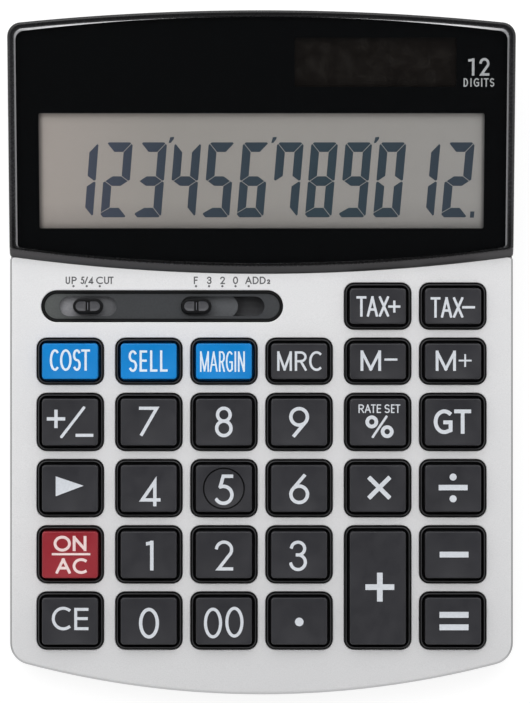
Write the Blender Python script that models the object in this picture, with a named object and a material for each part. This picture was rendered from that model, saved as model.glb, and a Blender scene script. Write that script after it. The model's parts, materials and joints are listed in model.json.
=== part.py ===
"""Desktop calculator: a wedge-shaped case with a sloping keyboard and a steeper, raised display head.

Metres, +Z up, the front edge towards -Y. The origin is on the table under the centre of the case.
The case shells are drawn in plan and get their heights from three slopes: the parting line, the
keyboard deck and the display head. Keys, boards and switches sit in the deck's own frame (x, v, n),
and the glass behind the window in the head's own frame (x, s, n). Both have their n = 0 on the face.
"""
import math

import bmesh
import bpy
from mathutils import Matrix, Vector

MM = 0.001

# Fits
FIT = 0.3 * MM
OVERRUN = 1 * MM

# Keyboard, as openings in the deck
KEY_OPENING_WIDTH = 19.4 * MM
DIGIT_OPENING_HEIGHT = 16.75 * MM
FUNCTION_OPENING_HEIGHT = 13.55 * MM
OPENING_GAP_X = 2.25 * MM
OPENING_GAP_Y = 2.34 * MM
GROUP_GAP_X = 1 * MM
OPENING_CORNER = 2.9 * MM
KEYPAD_SIDE_MARGIN = 7.7 * MM
KEYPAD_FRONT_MARGIN = 12.9 * MM
KEYPAD_BACK_MARGIN = 2.6 * MM
KEY_CORNER_STEPS = 2

# Case, in plan
FRONT_RADIUS = 267 * MM
BACK_RADIUS = 706 * MM
SEAM_RADIUS = 534 * MM
FRONT_CORNER = 6.3 * MM
BACK_CORNER = 4 * MM
SEAM_CORNER = 0.8 * MM
FRONT_ARC_STEPS = 5
BACK_ARC_STEPS = 4
CORNER_STEPS = 2

# Case, heights and walls
FOOT_HEIGHT = 2 * MM
DECK_FRONT_Z = 12.5 * MM
DECK_TILT = math.radians(3)
HEAD_TILT = math.radians(14)
HEAD_STEP = 2.3 * MM
SKIRT = 6 * MM
WALL = 1.8 * MM
FLOOR = 1.8 * MM
SIDE_DRAFT = 0.6 * MM
UNDERSIDE_ROUND = 1.5 * MM
DECK_THICKNESS = 1.6 * MM
DECK_EDGE_ROUND = 1 * MM

# Display head
CHIN_LEAN = 2 * MM
HEAD_EDGE_ROUND = 0.5 * MM
RIM_SIDE = 2 * MM
RIM_FRONT = 0.9 * MM
LEDGE_WIDTH = 3 * MM
LEDGE_THICKNESS = 1.2 * MM
WINDOW_THICKNESS = 1.6 * MM
WINDOW_BEVEL = 0.6 * MM
LCD_SIDE_MARGIN = 6.75 * MM
LCD_FRONT_MARGIN = 10.7 * MM
LCD_HEIGHT = 38 * MM
LCD_GLASS = 1.1 * MM
LCD_DEPTH = 3 * MM
LCD_CONTACT_LEDGE = 2.6 * MM
SOLAR_WIDTH = 49 * MM
SOLAR_HEIGHT = 16 * MM
SOLAR_THICKNESS = 1.2 * MM
SOLAR_DEPTH = 3.4 * MM
SOLAR_LCD_GAP = 4.2 * MM
SOLAR_SIDE_MARGIN = 15.5 * MM
SOLAR_BACK_MARGIN = 7.2 * MM
HOLDER_FRONT_GAP = 1.6 * MM
HOLDER_FLOOR = 1.7 * MM

# Key frame, with a raised rim round each key
RIM_WALL = 0.8 * MM
RIM_RISE = 0.6 * MM
RIM_DRAFT = 0.3 * MM
FRAME_THICKNESS = 1.2 * MM

# Keys
KEY_PLAY = 0.3 * MM
KEY_RISE = 3 * MM
KEY_TRAVEL = 1.6 * MM
KEY_DRAFT = 0.4 * MM
KEY_EDGE_ROUND = 0.35 * MM
KEY_DISH = 0.3 * MM
DISH_SHARE = 0.6
KEY_FLANGE = 0.7 * MM
KEY_FLANGE_THICKNESS = 0.8 * MM
KEY_WALL = 1.3 * MM
KEY_HOLLOW = 2 * MM
LOCATOR_RADIUS = 6 * MM
LOCATOR_DEPTH = 0.35 * MM
LOCATOR_EDGE = 0.5 * MM
ROUND_SIDES = 20

# Rubber key membrane and main board
MEMBRANE_THICKNESS = 0.6 * MM
MEMBRANE_INSET = 4 * MM
MEMBRANE_BACK_MARGIN = 4.7 * MM
DOME_BASE_RADIUS = 4 * MM
DOME_TOP_RADIUS = 2.2 * MM
DOME_SIDES = 6
BOARD_THICKNESS = 1.2 * MM
BOARD_INSET = 3 * MM
BOARD_REACH = 16 * MM
CHIP_RADIUS = 6 * MM
CHIP_HEIGHT = 1.4 * MM
CHIP_PLACE_SHARES = (0.28, 0.78)
RIBBON_WIDTH = 36 * MM
RIBBON_THICKNESS = 0.3 * MM
RIBBON_LAP = 2.2 * MM
RIBBON_LANDING = 6 * MM
STRIP_BEND = 0.8 * MM
BEND_STEPS = 3

# Slide switches
PANEL_LENGTH = 69.9 * MM
PANEL_HEIGHT = 8.8 * MM
PANEL_LEFT_INSET = 1.2 * MM
PANEL_SINK = 0.2 * MM
PANEL_SLOPE = 0.8 * MM
PANEL_DEPTH = 0.8 * MM
PANEL_FLANGE = 1 * MM
PANEL_FLANGE_THICKNESS = 0.8 * MM
SLOT_HEIGHT = 5.7 * MM
SLOT_END_STEPS = 5
SWITCH_PITCH = 3.78 * MM
ROUNDING_STEPS = 1
DECIMAL_STEPS = 4
ROUNDING_SWITCH_INSET = 13.55 * MM
DECIMAL_SWITCH_INSET = 44.85 * MM
KNOB_LENGTH = 8.4 * MM
KNOB_HEIGHT = 4.5 * MM
KNOB_RISE = 0.9 * MM
KNOB_DRAFT = 0.5 * MM
KNOB_DIMPLE = 0.4 * MM
KNOB_RIB = 0.6 * MM
SLIDER_LENGTH = 24 * MM
SLIDER_HEIGHT = 6.8 * MM
SLIDER_THICKNESS = 0.8 * MM
SLIDER_FOOT_LENGTH = 5 * MM
SLIDER_FOOT_WIDTH = 3 * MM
SWITCH_BAY_MARGIN = 0.6 * MM

# Case screws, with a boss above and a pillar below each
SCREW_SIDE_INSET = 4.5 * MM
SCREW_FRONT_INSET = 39.5 * MM
SCREW_BACK_INSET = 13.5 * MM
BOSS_RADIUS = 2.2 * MM
PILLAR_RADIUS = 3.2 * MM
SCREW_RADIUS = 1 * MM
SCREW_HEAD_RADIUS = 1.8 * MM
SCREW_HEAD_HEIGHT = 1.4 * MM
SCREW_LENGTH = 6 * MM
SCREW_POINT = 0.8 * MM
SCREW_LAND = 1.6 * MM
RECESS_DEPTH_SHARE = 0.5
RECESS_WIDTH = 0.5 * MM
SCREW_SIDES = 10
POST_RADIUS = 2 * MM
POST_PLACE_SHARES = ((-0.66, 0.24), (0, 0.24), (0.66, 0.24), (-0.66, 0.86), (0, 0.86), (0.66, 0.86))

# Feet
FOOT_RADIUS = 5 * MM
FOOT_SIDES = 18
FOOT_CHAMFER = 0.4 * MM
FOOT_RECESS = 0.7 * MM
FOOT_SIDE_INSET = 15.5 * MM
FOOT_FRONT_INSET = 21.5 * MM
FOOT_BACK_INSET = 15.5 * MM

# Button cell, its bay in the floor, its contacts and its cover
CELL_RADIUS = 5.8 * MM
CELL_CAN_HEIGHT = 4.8 * MM
CELL_CAP_RADIUS = 4.8 * MM
CELL_CAP_HEIGHT = 0.6 * MM
CELL_SIDE_INSET = 32.5 * MM
CONTACT_THICKNESS = 0.5 * MM
CONTACT_WIDTH = 3 * MM
CONTACT_OFFSET = 2.6 * MM
CONTACT_LAP = 3.5 * MM
CONTACT_SPAN = 7 * MM
BAY_WALL = 1.4 * MM
COVER_THICKNESS = 1.5 * MM
COVER_SEAT = 1.5 * MM
COVER_TAIL = 8 * MM
COVER_CORNER = 1.5 * MM
COVER_SCREW_HEAD_HEIGHT = 0.7 * MM
COVER_SCREW_LENGTH = 5 * MM
GRIP_GROOVES = 3
GRIP_GROOVE_WIDTH = 0.9 * MM
GRIP_GROOVE_DEPTH = 0.4 * MM
GRIP_GROOVE_LENGTH = 7 * MM

# Keys from the front row to the back, each row from the left. The tall key reaches into the row before.
KEY_ROWS = (
    ("key_clear_entry", "key_0", "key_double_zero", "key_point", None, "key_equals"),
    ("key_on_clear", "key_1", "key_2", "key_3", "key_add", "key_subtract"),
    ("key_backspace", "key_4", "key_5", "key_6", "key_multiply", "key_divide"),
    ("key_sign_change", "key_7", "key_8", "key_9", "key_percent", "key_grand_total"),
    ("key_cost", "key_sell", "key_margin", "key_memory_recall", "key_memory_minus", "key_memory_plus"),
    (None, None, None, None, "key_tax_plus", "key_tax_minus"),
)
COLUMNS = len(KEY_ROWS[0])
DIGIT_ROWS = 4
GROUP_STARTS = (1, 4)
TALL_KEY = "key_add"
BLUE_KEYS = ("key_cost", "key_sell", "key_margin")
RED_KEY = "key_on_clear"
LOCATOR_KEY = "key_5"

# Heights in the deck's frame
FRAME_TOP_N = -DECK_THICKNESS - FIT
FRAME_BOTTOM_N = FRAME_TOP_N - FRAME_THICKNESS
FLANGE_TOP_N = FRAME_BOTTOM_N - FIT
KEY_BOTTOM_N = FLANGE_TOP_N - KEY_FLANGE_THICKNESS
KEY_CEILING_N = KEY_BOTTOM_N + KEY_HOLLOW
MEMBRANE_TOP_N = KEY_BOTTOM_N - KEY_TRAVEL - FIT
MEMBRANE_BOTTOM_N = MEMBRANE_TOP_N - MEMBRANE_THICKNESS
BOARD_TOP_N = MEMBRANE_BOTTOM_N - FIT
BOARD_BOTTOM_N = BOARD_TOP_N - BOARD_THICKNESS
PANEL_FLOOR_N = -PANEL_SINK - PANEL_DEPTH
PANEL_BOTTOM_N = FRAME_TOP_N - PANEL_FLANGE_THICKNESS
SLIDER_TOP_N = PANEL_BOTTOM_N - FIT
SLIDER_BOTTOM_N = SLIDER_TOP_N - SLIDER_THICKNESS

# Inset of each part of a key from its opening in the deck
RIM_INSET = FIT
WELL_INSET = RIM_INSET + RIM_WALL
BODY_INSET = WELL_INSET + KEY_PLAY
FLANGE_INSET = BODY_INSET - KEY_FLANGE
HOLLOW_INSET = BODY_INSET + KEY_WALL
TOP_INSET = BODY_INSET + KEY_DRAFT
EDGE_INSET = TOP_INSET + KEY_EDGE_ROUND

# Size of the keypad and, from it, of the case
FUNCTION_ROWS = len(KEY_ROWS) - DIGIT_ROWS
COLUMN_PITCH = KEY_OPENING_WIDTH + OPENING_GAP_X
KEYPAD_WIDTH = COLUMN_PITCH * COLUMNS - OPENING_GAP_X + GROUP_GAP_X * len(GROUP_STARTS)
KEYPAD_LENGTH = (
    DIGIT_OPENING_HEIGHT * DIGIT_ROWS
    + FUNCTION_OPENING_HEIGHT * FUNCTION_ROWS
    + OPENING_GAP_Y * (len(KEY_ROWS) - 1)
)
KEYBOARD_LENGTH = (KEYPAD_FRONT_MARGIN + KEYPAD_LENGTH + KEYPAD_BACK_MARGIN) * math.cos(DECK_TILT)
HEAD_FACE_LENGTH = LCD_FRONT_MARGIN + LCD_HEIGHT + SOLAR_LCD_GAP + SOLAR_HEIGHT + SOLAR_BACK_MARGIN
HEAD_LENGTH = HEAD_FACE_LENGTH * math.cos(HEAD_TILT)
HALF_WIDTH = KEYPAD_WIDTH / 2 + KEYPAD_SIDE_MARGIN
FRONT_Y = -(KEYBOARD_LENGTH + HEAD_LENGTH) / 2
BACK_Y = -FRONT_Y
SEAM_Y = FRONT_Y + KEYBOARD_LENGTH
CHIN_TOP_Y = SEAM_Y + CHIN_LEAN
KEYPAD_FRONT_V = FRONT_Y / math.cos(DECK_TILT) + KEYPAD_FRONT_MARGIN
BOARD_BACK_Y = SEAM_Y + BOARD_REACH


def deck_z(y):
    """Height of the keyboard deck's face."""
    return DECK_FRONT_Z + (y - FRONT_Y) * math.tan(DECK_TILT)


def parting_z(y):
    """Height of the line where the upper shells meet the bottom case."""
    return deck_z(y) - SKIRT


def head_z(y):
    """Height of the display head's face."""
    return deck_z(CHIN_TOP_Y) + HEAD_STEP + (y - CHIN_TOP_Y) * math.tan(HEAD_TILT)


def raised(height, by):
    """A height function moved up by a distance."""
    return lambda y: height(y) + by


def deck_v(y):
    """A place in plan as a distance up the deck."""
    return y / math.cos(DECK_TILT)


def head_s(y):
    """A place in plan as a distance up the head's face."""
    return y / math.cos(HEAD_TILT)


# Places that several pieces share
PANEL_LEFT_X = -KEYPAD_WIDTH / 2 + PANEL_LEFT_INSET
PANEL_X = PANEL_LEFT_X + PANEL_LENGTH / 2
PANEL_V = KEYPAD_FRONT_V + KEYPAD_LENGTH - FUNCTION_OPENING_HEIGHT / 2
ROUNDING_SWITCH_X = PANEL_LEFT_X + ROUNDING_SWITCH_INSET
DECIMAL_SWITCH_X = PANEL_LEFT_X + DECIMAL_SWITCH_INSET
LCD_WIDTH = 2 * (HALF_WIDTH - LCD_SIDE_MARGIN)
LCD_FRONT_S = head_s(SEAM_Y) + LCD_FRONT_MARGIN
SOLAR_FRONT_S = LCD_FRONT_S + LCD_HEIGHT + SOLAR_LCD_GAP
SOLAR_X = HALF_WIDTH - SOLAR_SIDE_MARGIN - SOLAR_WIDTH / 2
CELL_X = -HALF_WIDTH + CELL_SIDE_INSET
POCKET_FRONT_Y = BOARD_BACK_Y + CONTACT_SPAN + BAY_WALL
CELL_Y = POCKET_FRONT_Y + FIT + CONTACT_THICKNESS + FIT + CELL_RADIUS
POCKET_BACK_Y = CELL_Y + CELL_RADIUS + FIT
POCKET_HALF_WIDTH = CELL_RADIUS + FIT
COVER_TOP_Z = FOOT_HEIGHT + COVER_THICKNESS
SEAT_Z = COVER_TOP_Z + FIT
CELL_CAP_Z = SEAT_Z + CELL_CAN_HEIGHT + CELL_CAP_HEIGHT
CONTACT_Z = CELL_CAP_Z + FIT + CONTACT_THICKNESS / 2
POCKET_ROOF_Z = CONTACT_Z + CONTACT_THICKNESS / 2 + FIT
COVER_SCREW_Y = POCKET_BACK_Y + COVER_TAIL / 2


# Materials


def make_material(name, color, roughness, metallic=0.0, transmission=0.0):
    material = bpy.data.materials.new(name)
    material.use_nodes = True
    shader = material.node_tree.nodes["Principled BSDF"]
    shader.inputs["Base Color"].default_value = (*color, 1)
    shader.inputs["Roughness"].default_value = roughness
    shader.inputs["Metallic"].default_value = metallic
    shader.inputs["Transmission Weight"].default_value = transmission
    material.diffuse_color = (*color, 1)
    return material


# Outlines: each is a list of points that runs counter-clockwise


def arc_corner(x, apex_y, radius, facing, convex, corner):
    """The fillet between the side at +x and a front or back arc: (arc centre y, points from arc to side).

    facing is -1 for a front edge and 1 for a back edge.
    """
    bulge = 1 if convex else -1
    centre_y = apex_y - facing * bulge * radius
    fillet_x = x - corner
    fillet_y = centre_y + facing * bulge * math.sqrt((radius - bulge * corner) ** 2 - fillet_x**2)
    end = math.atan2((fillet_y - centre_y) * bulge, fillet_x * bulge)
    points = []
    for step in range(CORNER_STEPS + 1):
        angle = end * (1 - step / CORNER_STEPS)
        points.append((fillet_x + corner * math.cos(angle), fillet_y + corner * math.sin(angle)))
    return centre_y, points


def arc_points(centre_y, apex_y, tangent, steps):
    """Points on an arc from its apex on the centre line up to, but not including, a tangent point."""
    start = Vector((0, apex_y - centre_y))
    sweep = start.angle_signed(Vector((tangent[0], tangent[1] - centre_y)))
    points = []
    for step in range(steps):
        turned = Matrix.Rotation(-sweep * step / steps, 2) @ start
        points.append((turned.x, turned.y + centre_y))
    return points


def plan_outline(half_width, front, back, back_convex=True):
    """The plan between two arcs, each given as (apex y, radius, corner radius), symmetric about x = 0."""
    front_centre, front_fillet = arc_corner(half_width, front[0], front[1], -1, True, front[2])
    back_centre, back_fillet = arc_corner(half_width, back[0], back[1], 1, back_convex, back[2])
    half = arc_points(front_centre, front[0], front_fillet[0], FRONT_ARC_STEPS)
    half += front_fillet
    half += reversed(back_fillet)
    half += reversed(arc_points(back_centre, back[0], back_fillet[0], BACK_ARC_STEPS))
    return half + mirrored(half[1:-1])


def mirrored(points):
    return [(-x, y) for x, y in reversed(points)]


def front_edge(inset):
    return FRONT_Y + inset, FRONT_RADIUS - inset, max(FRONT_CORNER - inset, SEAM_CORNER)


def back_edge(inset):
    return BACK_Y - inset, BACK_RADIUS - inset, max(BACK_CORNER - inset, SEAM_CORNER)


def case_outline(inset):
    """The whole case in plan, moved in by inset."""
    return plan_outline(HALF_WIDTH - inset, front_edge(inset), back_edge(inset))


def keyboard_outline(inset, back_inset=None):
    """The part in front of the head's seam, whose back edge curves in."""
    back = inset if back_inset is None else back_inset
    seam = (SEAM_Y - back, SEAM_RADIUS + back, SEAM_CORNER)
    return plan_outline(HALF_WIDTH - inset, front_edge(inset), seam, back_convex=False)


def head_outline(inset, front_inset):
    """The part behind the seam, whose front edge moves in by its own amount."""
    seam = (SEAM_Y + front_inset, SEAM_RADIUS - front_inset, SEAM_CORNER)
    return plan_outline(HALF_WIDTH - inset, seam, back_edge(inset))


def straight_back_outline(inset, back_y):
    """The case's front half, closed by a straight back edge."""
    half_width = HALF_WIDTH - inset
    apex_y, radius, corner = front_edge(inset)
    centre_y, fillet = arc_corner(half_width, apex_y, radius, -1, True, corner)
    half = arc_points(centre_y, apex_y, fillet[0], FRONT_ARC_STEPS) + fillet + [(half_width, back_y)]
    return half + mirrored(half[1:])


def on_deck(points):
    """A plan outline as seen square to the deck."""
    return [(x, deck_v(y)) for x, y in points]


def rounded_rectangle(width, height, corner, centre=(0, 0)):
    points = []
    for quarter, (side_x, side_y) in enumerate(((1, 1), (-1, 1), (-1, -1), (1, -1))):
        for step in range(KEY_CORNER_STEPS + 1):
            angle = math.radians(90) * (quarter + step / KEY_CORNER_STEPS)
            points.append((
                centre[0] + side_x * (width / 2 - corner) + corner * math.cos(angle),
                centre[1] + side_y * (height / 2 - corner) + corner * math.sin(angle),
            ))
    return points


def rectangle(x_range, y_range):
    (left, right), (front, back) = x_range, y_range
    return [(right, back), (left, back), (left, front), (right, front)]


def centred(middle, size):
    return middle - size / 2, middle + size / 2


def grown(limits, by):
    return limits[0] - by, limits[1] + by


def stadium(length, height, centre=(0, 0)):
    """A slot shape with round ends."""
    radius = height / 2
    points = []
    for side in (1, -1):
        for step in range(SLOT_END_STEPS + 1):
            angle = math.radians(180) * (step / SLOT_END_STEPS) - math.radians(90) * side
            points.append((
                centre[0] + side * (length / 2 - radius) + radius * math.cos(angle),
                centre[1] + radius * math.sin(angle),
            ))
    return points


def circle(radius, sides, centre=(0, 0)):
    points = []
    for side in range(sides):
        angle = math.tau * side / sides
        points.append((centre[0] + radius * math.cos(angle), centre[1] + radius * math.sin(angle)))
    return points


# Solids: a shell is a list of rings, each a closed loop of points in space


def at(points, height):
    """A flat outline as a ring, at a height that is a number or a function of y."""
    if callable(height):
        return [Vector((x, y, height(y))) for x, y in points]
    return [Vector((x, y, height)) for x, y in points]


def prism(outline, low, high):
    return [at(outline, low), at(outline, high)]


def join_rings(mesh, first, second):
    """The faces between two rings. Where one has more points, each point of the other fans out."""
    few, many = sorted((first, second), key=len)
    share = len(many) // len(few)
    for i, point in enumerate(few):
        low = i * share
        high = low + share - 1
        for k in range(low, high):
            mesh.faces.new((point, many[k + 1], many[k]))
        mesh.faces.new((point, few[(i + 1) % len(few)], many[(high + 1) % len(many)], many[high]))


def add_shell(mesh, rings, endless):
    """Joins the rings into a closed skin. An endless shell has its last ring joined to its first."""
    loops = [[mesh.verts.new(point) for point in ring] for ring in rings]
    for first, second in zip(loops, loops[1:]):
        join_rings(mesh, first, second)
    if endless:
        join_rings(mesh, loops[-1], loops[0])
    else:
        mesh.faces.new(loops[0])
        mesh.faces.new(loops[-1])


def make_object(name, shells, material=None, parent=None, location=(0, 0, 0), endless=False):
    mesh = bmesh.new()
    for rings in shells:
        add_shell(mesh, rings, endless)
    bmesh.ops.recalc_face_normals(mesh, faces=mesh.faces)
    data = bpy.data.meshes.new(name)
    mesh.to_mesh(data)
    mesh.free()
    data.shade_smooth()
    data.set_sharp_from_angle(angle=math.radians(35))
    obj = bpy.data.objects.new(name, data)
    bpy.context.collection.objects.link(obj)
    obj.parent = parent
    obj.location = location
    if material:
        data.materials.append(material)
    return obj


def make_helper(name, shells, parent=None, location=(0, 0, 0)):
    """A shape that only cuts others or is joined to them."""
    helper = make_object(name, shells, parent=parent, location=location)
    helper.hide_render = True
    helper.display_type = "WIRE"
    return helper


def combine(obj, helper, operation):
    modifier = obj.modifiers.new(helper.name, "BOOLEAN")
    modifier.operation = operation
    modifier.object = helper


def cut(obj, helper):
    combine(obj, helper, "DIFFERENCE")


def join(obj, helper):
    combine(obj, helper, "UNION")


def make_frame(name, height, tilt):
    """An empty on a sloping face, under the case's centre line."""
    empty = bpy.data.objects.new(name, None)
    empty.location = (0, 0, height)
    empty.rotation_euler = (tilt, 0, 0)
    bpy.context.collection.objects.link(empty)
    return empty


def bent_path(corners):
    """A path in a YZ plane through corners, each rounded to the same radius."""
    corners = [Vector(corner) for corner in corners]
    path = [corners[0]]
    for before, corner, after in zip(corners, corners[1:], corners[2:]):
        back = (before - corner).normalized()
        ahead = (after - corner).normalized()
        half_angle = back.angle(ahead) / 2
        centre = corner + (back + ahead).normalized() * STRIP_BEND / math.sin(half_angle)
        start = corner + back * STRIP_BEND / math.tan(half_angle) - centre
        end = corner + ahead * STRIP_BEND / math.tan(half_angle) - centre
        path += [centre + start.slerp(end, step / BEND_STEPS) * STRIP_BEND for step in range(BEND_STEPS + 1)]
    return path + [corners[-1]]


def strip_rings(path, x_range, thickness):
    """A flat strip swept along a path in a YZ plane."""
    rings = []
    for i, point in enumerate(path):
        along = (path[min(i + 1, len(path) - 1)] - path[max(i - 1, 0)]).normalized()
        across = Vector((-along.y, along.x)) * thickness / 2
        upper = point + across
        lower = point - across
        rings.append([
            Vector((x_range[0], *lower)),
            Vector((x_range[1], *lower)),
            Vector((x_range[1], *upper)),
            Vector((x_range[0], *upper)),
        ])
    return rings


# Case shells


def make_bottom_case(material):
    """The tray: a flat underside, drafted walls and a rim on the parting slope."""
    shell = [
        at(case_outline(SIDE_DRAFT + UNDERSIDE_ROUND), FOOT_HEIGHT),
        at(case_outline(SIDE_DRAFT), FOOT_HEIGHT + UNDERSIDE_ROUND),
        at(case_outline(0), parting_z),
        at(case_outline(WALL), parting_z),
        at(case_outline(WALL + SIDE_DRAFT), FOOT_HEIGHT + FLOOR),
    ]
    return make_object("bottom_case", [shell], material)


def half_round(radius):
    """How far in and down the middle of a rounded edge lies."""
    return radius * (1 - math.cos(math.radians(45)))


def make_keyboard_cover(material):
    """The silver upper shell over the keys, open below, with a rounded edge."""
    middle = half_round(DECK_EDGE_ROUND)
    shell = [
        at(keyboard_outline(WALL), raised(deck_z, -DECK_THICKNESS)),
        at(keyboard_outline(WALL), raised(parting_z, FIT)),
        at(keyboard_outline(0, FIT), raised(parting_z, FIT)),
        at(keyboard_outline(0, FIT), raised(deck_z, -DECK_EDGE_ROUND)),
        at(keyboard_outline(middle, FIT), raised(deck_z, -middle)),
        at(keyboard_outline(DECK_EDGE_ROUND, FIT), deck_z),
    ]
    return make_object("keyboard_cover", [shell], material)


def make_head_housing(material):
    """The black shell round the display, open below and above, with a ledge that the window sits on."""
    middle = half_round(HEAD_EDGE_ROUND)
    rim_front = CHIN_LEAN + RIM_FRONT
    ledge_side = RIM_SIDE + LEDGE_WIDTH
    ledge_front = rim_front + LEDGE_WIDTH
    ledge_top = raised(head_z, -WINDOW_THICKNESS - FIT)
    ledge_bottom = raised(head_z, -WINDOW_THICKNESS - FIT - LEDGE_THICKNESS)
    shell = [
        at(head_outline(0, FIT), raised(parting_z, FIT)),
        at(head_outline(0, FIT), deck_z),
        at(head_outline(0, CHIN_LEAN), raised(head_z, -HEAD_EDGE_ROUND)),
        at(head_outline(middle, CHIN_LEAN + middle), raised(head_z, -middle)),
        at(head_outline(HEAD_EDGE_ROUND, CHIN_LEAN + HEAD_EDGE_ROUND), head_z),
        at(head_outline(RIM_SIDE, rim_front), head_z),
        at(head_outline(RIM_SIDE, rim_front), ledge_top),
        at(head_outline(ledge_side, ledge_front), ledge_top),
        at(head_outline(ledge_side, ledge_front), ledge_bottom),
        at(head_outline(WALL, rim_front), ledge_bottom),
        at(head_outline(WALL, FIT + WALL), raised(parting_z, FIT)),
    ]
    return make_object("head_housing", [shell], material, endless=True)


def make_display_window(material):
    """The acrylic sheet that fills the head's face, with a polished bevel."""
    side = RIM_SIDE + FIT
    front = CHIN_LEAN + RIM_FRONT + FIT
    shell = [
        at(head_outline(side, front), raised(head_z, -WINDOW_THICKNESS)),
        at(head_outline(side, front), raised(head_z, -WINDOW_BEVEL)),
        at(head_outline(side + WINDOW_BEVEL, front + WINDOW_BEVEL), head_z),
    ]
    return make_object("display_window", [shell], material)


# Keyboard


def column_x(column):
    """The centre of a column of keys. A wider gap sets off each group of columns."""
    groups_before = sum(column >= start for start in GROUP_STARTS)
    left = -KEYPAD_WIDTH / 2 + COLUMN_PITCH * column + GROUP_GAP_X * groups_before
    return left + KEY_OPENING_WIDTH / 2


def row_height(row):
    return DIGIT_OPENING_HEIGHT if row < DIGIT_ROWS else FUNCTION_OPENING_HEIGHT


def row_front_v(row):
    return KEYPAD_FRONT_V + sum(row_height(r) + OPENING_GAP_Y for r in range(row))


def key_places():
    """{key name: (x, v, opening height)}"""
    places = {}
    for row, names in enumerate(KEY_ROWS):
        for column, name in enumerate(names):
            if not name:
                continue
            front = row_front_v(row - 1 if name == TALL_KEY else row)
            back = row_front_v(row) + row_height(row)
            places[name] = (column_x(column), (front + back) / 2, back - front)
    return places


def key_outline(height, inset, corner_inset=None, centre=(0, 0)):
    """A key opening's outline, moved in by inset."""
    corner = OPENING_CORNER - (inset if corner_inset is None else corner_inset)
    return rounded_rectangle(KEY_OPENING_WIDTH - 2 * inset, height - 2 * inset, corner, centre)


def key_prisms(places, inset, low, high):
    """A straight block through each key's opening, moved in by inset."""
    return [prism(key_outline(height, inset, centre=(x, v)), low, high) for x, v, height in places.values()]


def dish_outline(height):
    """The floor of a key's hollow top, which keeps the same distance from all sides of the key."""
    width = KEY_OPENING_WIDTH - 2 * EDGE_INSET
    shrink = width * (1 - DISH_SHARE)
    corner = (OPENING_CORNER - BODY_INSET) * DISH_SHARE
    return rounded_rectangle(width - shrink, height - 2 * EDGE_INSET - shrink, corner)


def key_box(height, inset):
    """A square-cornered outline, moved in from a key's opening by inset."""
    return rectangle(grown(centred(0, KEY_OPENING_WIDTH), -inset), grown(centred(0, height), -inset))


def key_shell(height):
    """A key cap: hollow below, with a stop flange, drafted sides and a dished top."""
    return [
        at(key_box(height, HOLLOW_INSET), KEY_CEILING_N),
        at(key_box(height, HOLLOW_INSET), KEY_BOTTOM_N),
        at(key_box(height, FLANGE_INSET), KEY_BOTTOM_N),
        at(key_box(height, FLANGE_INSET), FLANGE_TOP_N),
        at(key_outline(height, BODY_INSET), FLANGE_TOP_N),
        at(key_outline(height, TOP_INSET, BODY_INSET), KEY_RISE - KEY_EDGE_ROUND),
        at(key_outline(height, EDGE_INSET, BODY_INSET), KEY_RISE),
        at(dish_outline(height), KEY_RISE - KEY_DISH),
    ]


def make_keys(places, deck, plain, blue, red):
    for name, (x, v, height) in places.items():
        material = red if name == RED_KEY else blue if name in BLUE_KEYS else plain
        key = make_object(name, [key_shell(height)], material, deck, (x, v, 0))
        if name == LOCATOR_KEY:
            cut(key, make_locator_cutter(deck, key.location))


def make_locator_cutter(deck, location):
    """The round hollow that a finger finds in the middle of the keypad."""
    floor = KEY_RISE - KEY_DISH - LOCATOR_DEPTH
    shell = [
        at(circle(LOCATOR_RADIUS - LOCATOR_EDGE, ROUND_SIDES), floor),
        at(circle(LOCATOR_RADIUS, ROUND_SIDES), floor + LOCATOR_EDGE),
        at(circle(LOCATOR_RADIUS, ROUND_SIDES), KEY_RISE + OVERRUN),
    ]
    return make_helper("locator_cutter", [shell], deck, location)


def make_key_frame(places, deck, material):
    """The black plate under the deck, with a rim standing up round each key."""
    outline = on_deck(keyboard_outline(WALL + FIT))
    frame = make_object("key_frame", [prism(outline, FRAME_BOTTOM_N, FRAME_TOP_N)], material, deck)
    root = (FRAME_TOP_N + FRAME_BOTTOM_N) / 2
    rims = []
    for x, v, height in places.values():
        foot = key_outline(height, RIM_INSET, centre=(x, v))
        crest = key_outline(height, RIM_INSET + RIM_DRAFT, centre=(x, v))
        rims.append([at(foot, root), at(crest, RIM_RISE)])
    join(frame, make_helper("rim_blocks", rims, deck))
    wells = key_prisms(places, WELL_INSET, FRAME_BOTTOM_N - OVERRUN, RIM_RISE + OVERRUN)
    wells.append(prism(switch_bay(), FRAME_BOTTOM_N - OVERRUN, OVERRUN))
    cut(frame, make_helper("well_cutter", wells, deck))
    return frame


def make_membrane(places, deck, material):
    """The rubber sheet, with a dome under each key and a window for the switch sliders' feet."""
    outline = on_deck(straight_back_outline(MEMBRANE_INSET, SEAM_Y - MEMBRANE_BACK_MARGIN))
    sheet = [prism(outline, MEMBRANE_BOTTOM_N, MEMBRANE_TOP_N)]
    membrane = make_object("key_membrane", sheet, material, deck)
    root = (MEMBRANE_TOP_N + MEMBRANE_BOTTOM_N) / 2
    domes = []
    for x, v, _ in places.values():
        domes.append([
            at(circle(DOME_BASE_RADIUS, DOME_SIDES, (x, v)), root),
            at(circle(DOME_TOP_RADIUS, DOME_SIDES, (x, v)), KEY_CEILING_N - FIT),
        ])
    join(membrane, make_helper("dome_blocks", domes, deck))
    window = rectangle(
        grown(foot_sweep(), SWITCH_BAY_MARGIN),
        grown(centred(PANEL_V, SLIDER_FOOT_WIDTH), SWITCH_BAY_MARGIN),
    )
    opening = prism(window, MEMBRANE_BOTTOM_N - OVERRUN, MEMBRANE_TOP_N + OVERRUN)
    cut(membrane, make_helper("membrane_window_cutter", [opening], deck))
    return membrane


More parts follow.
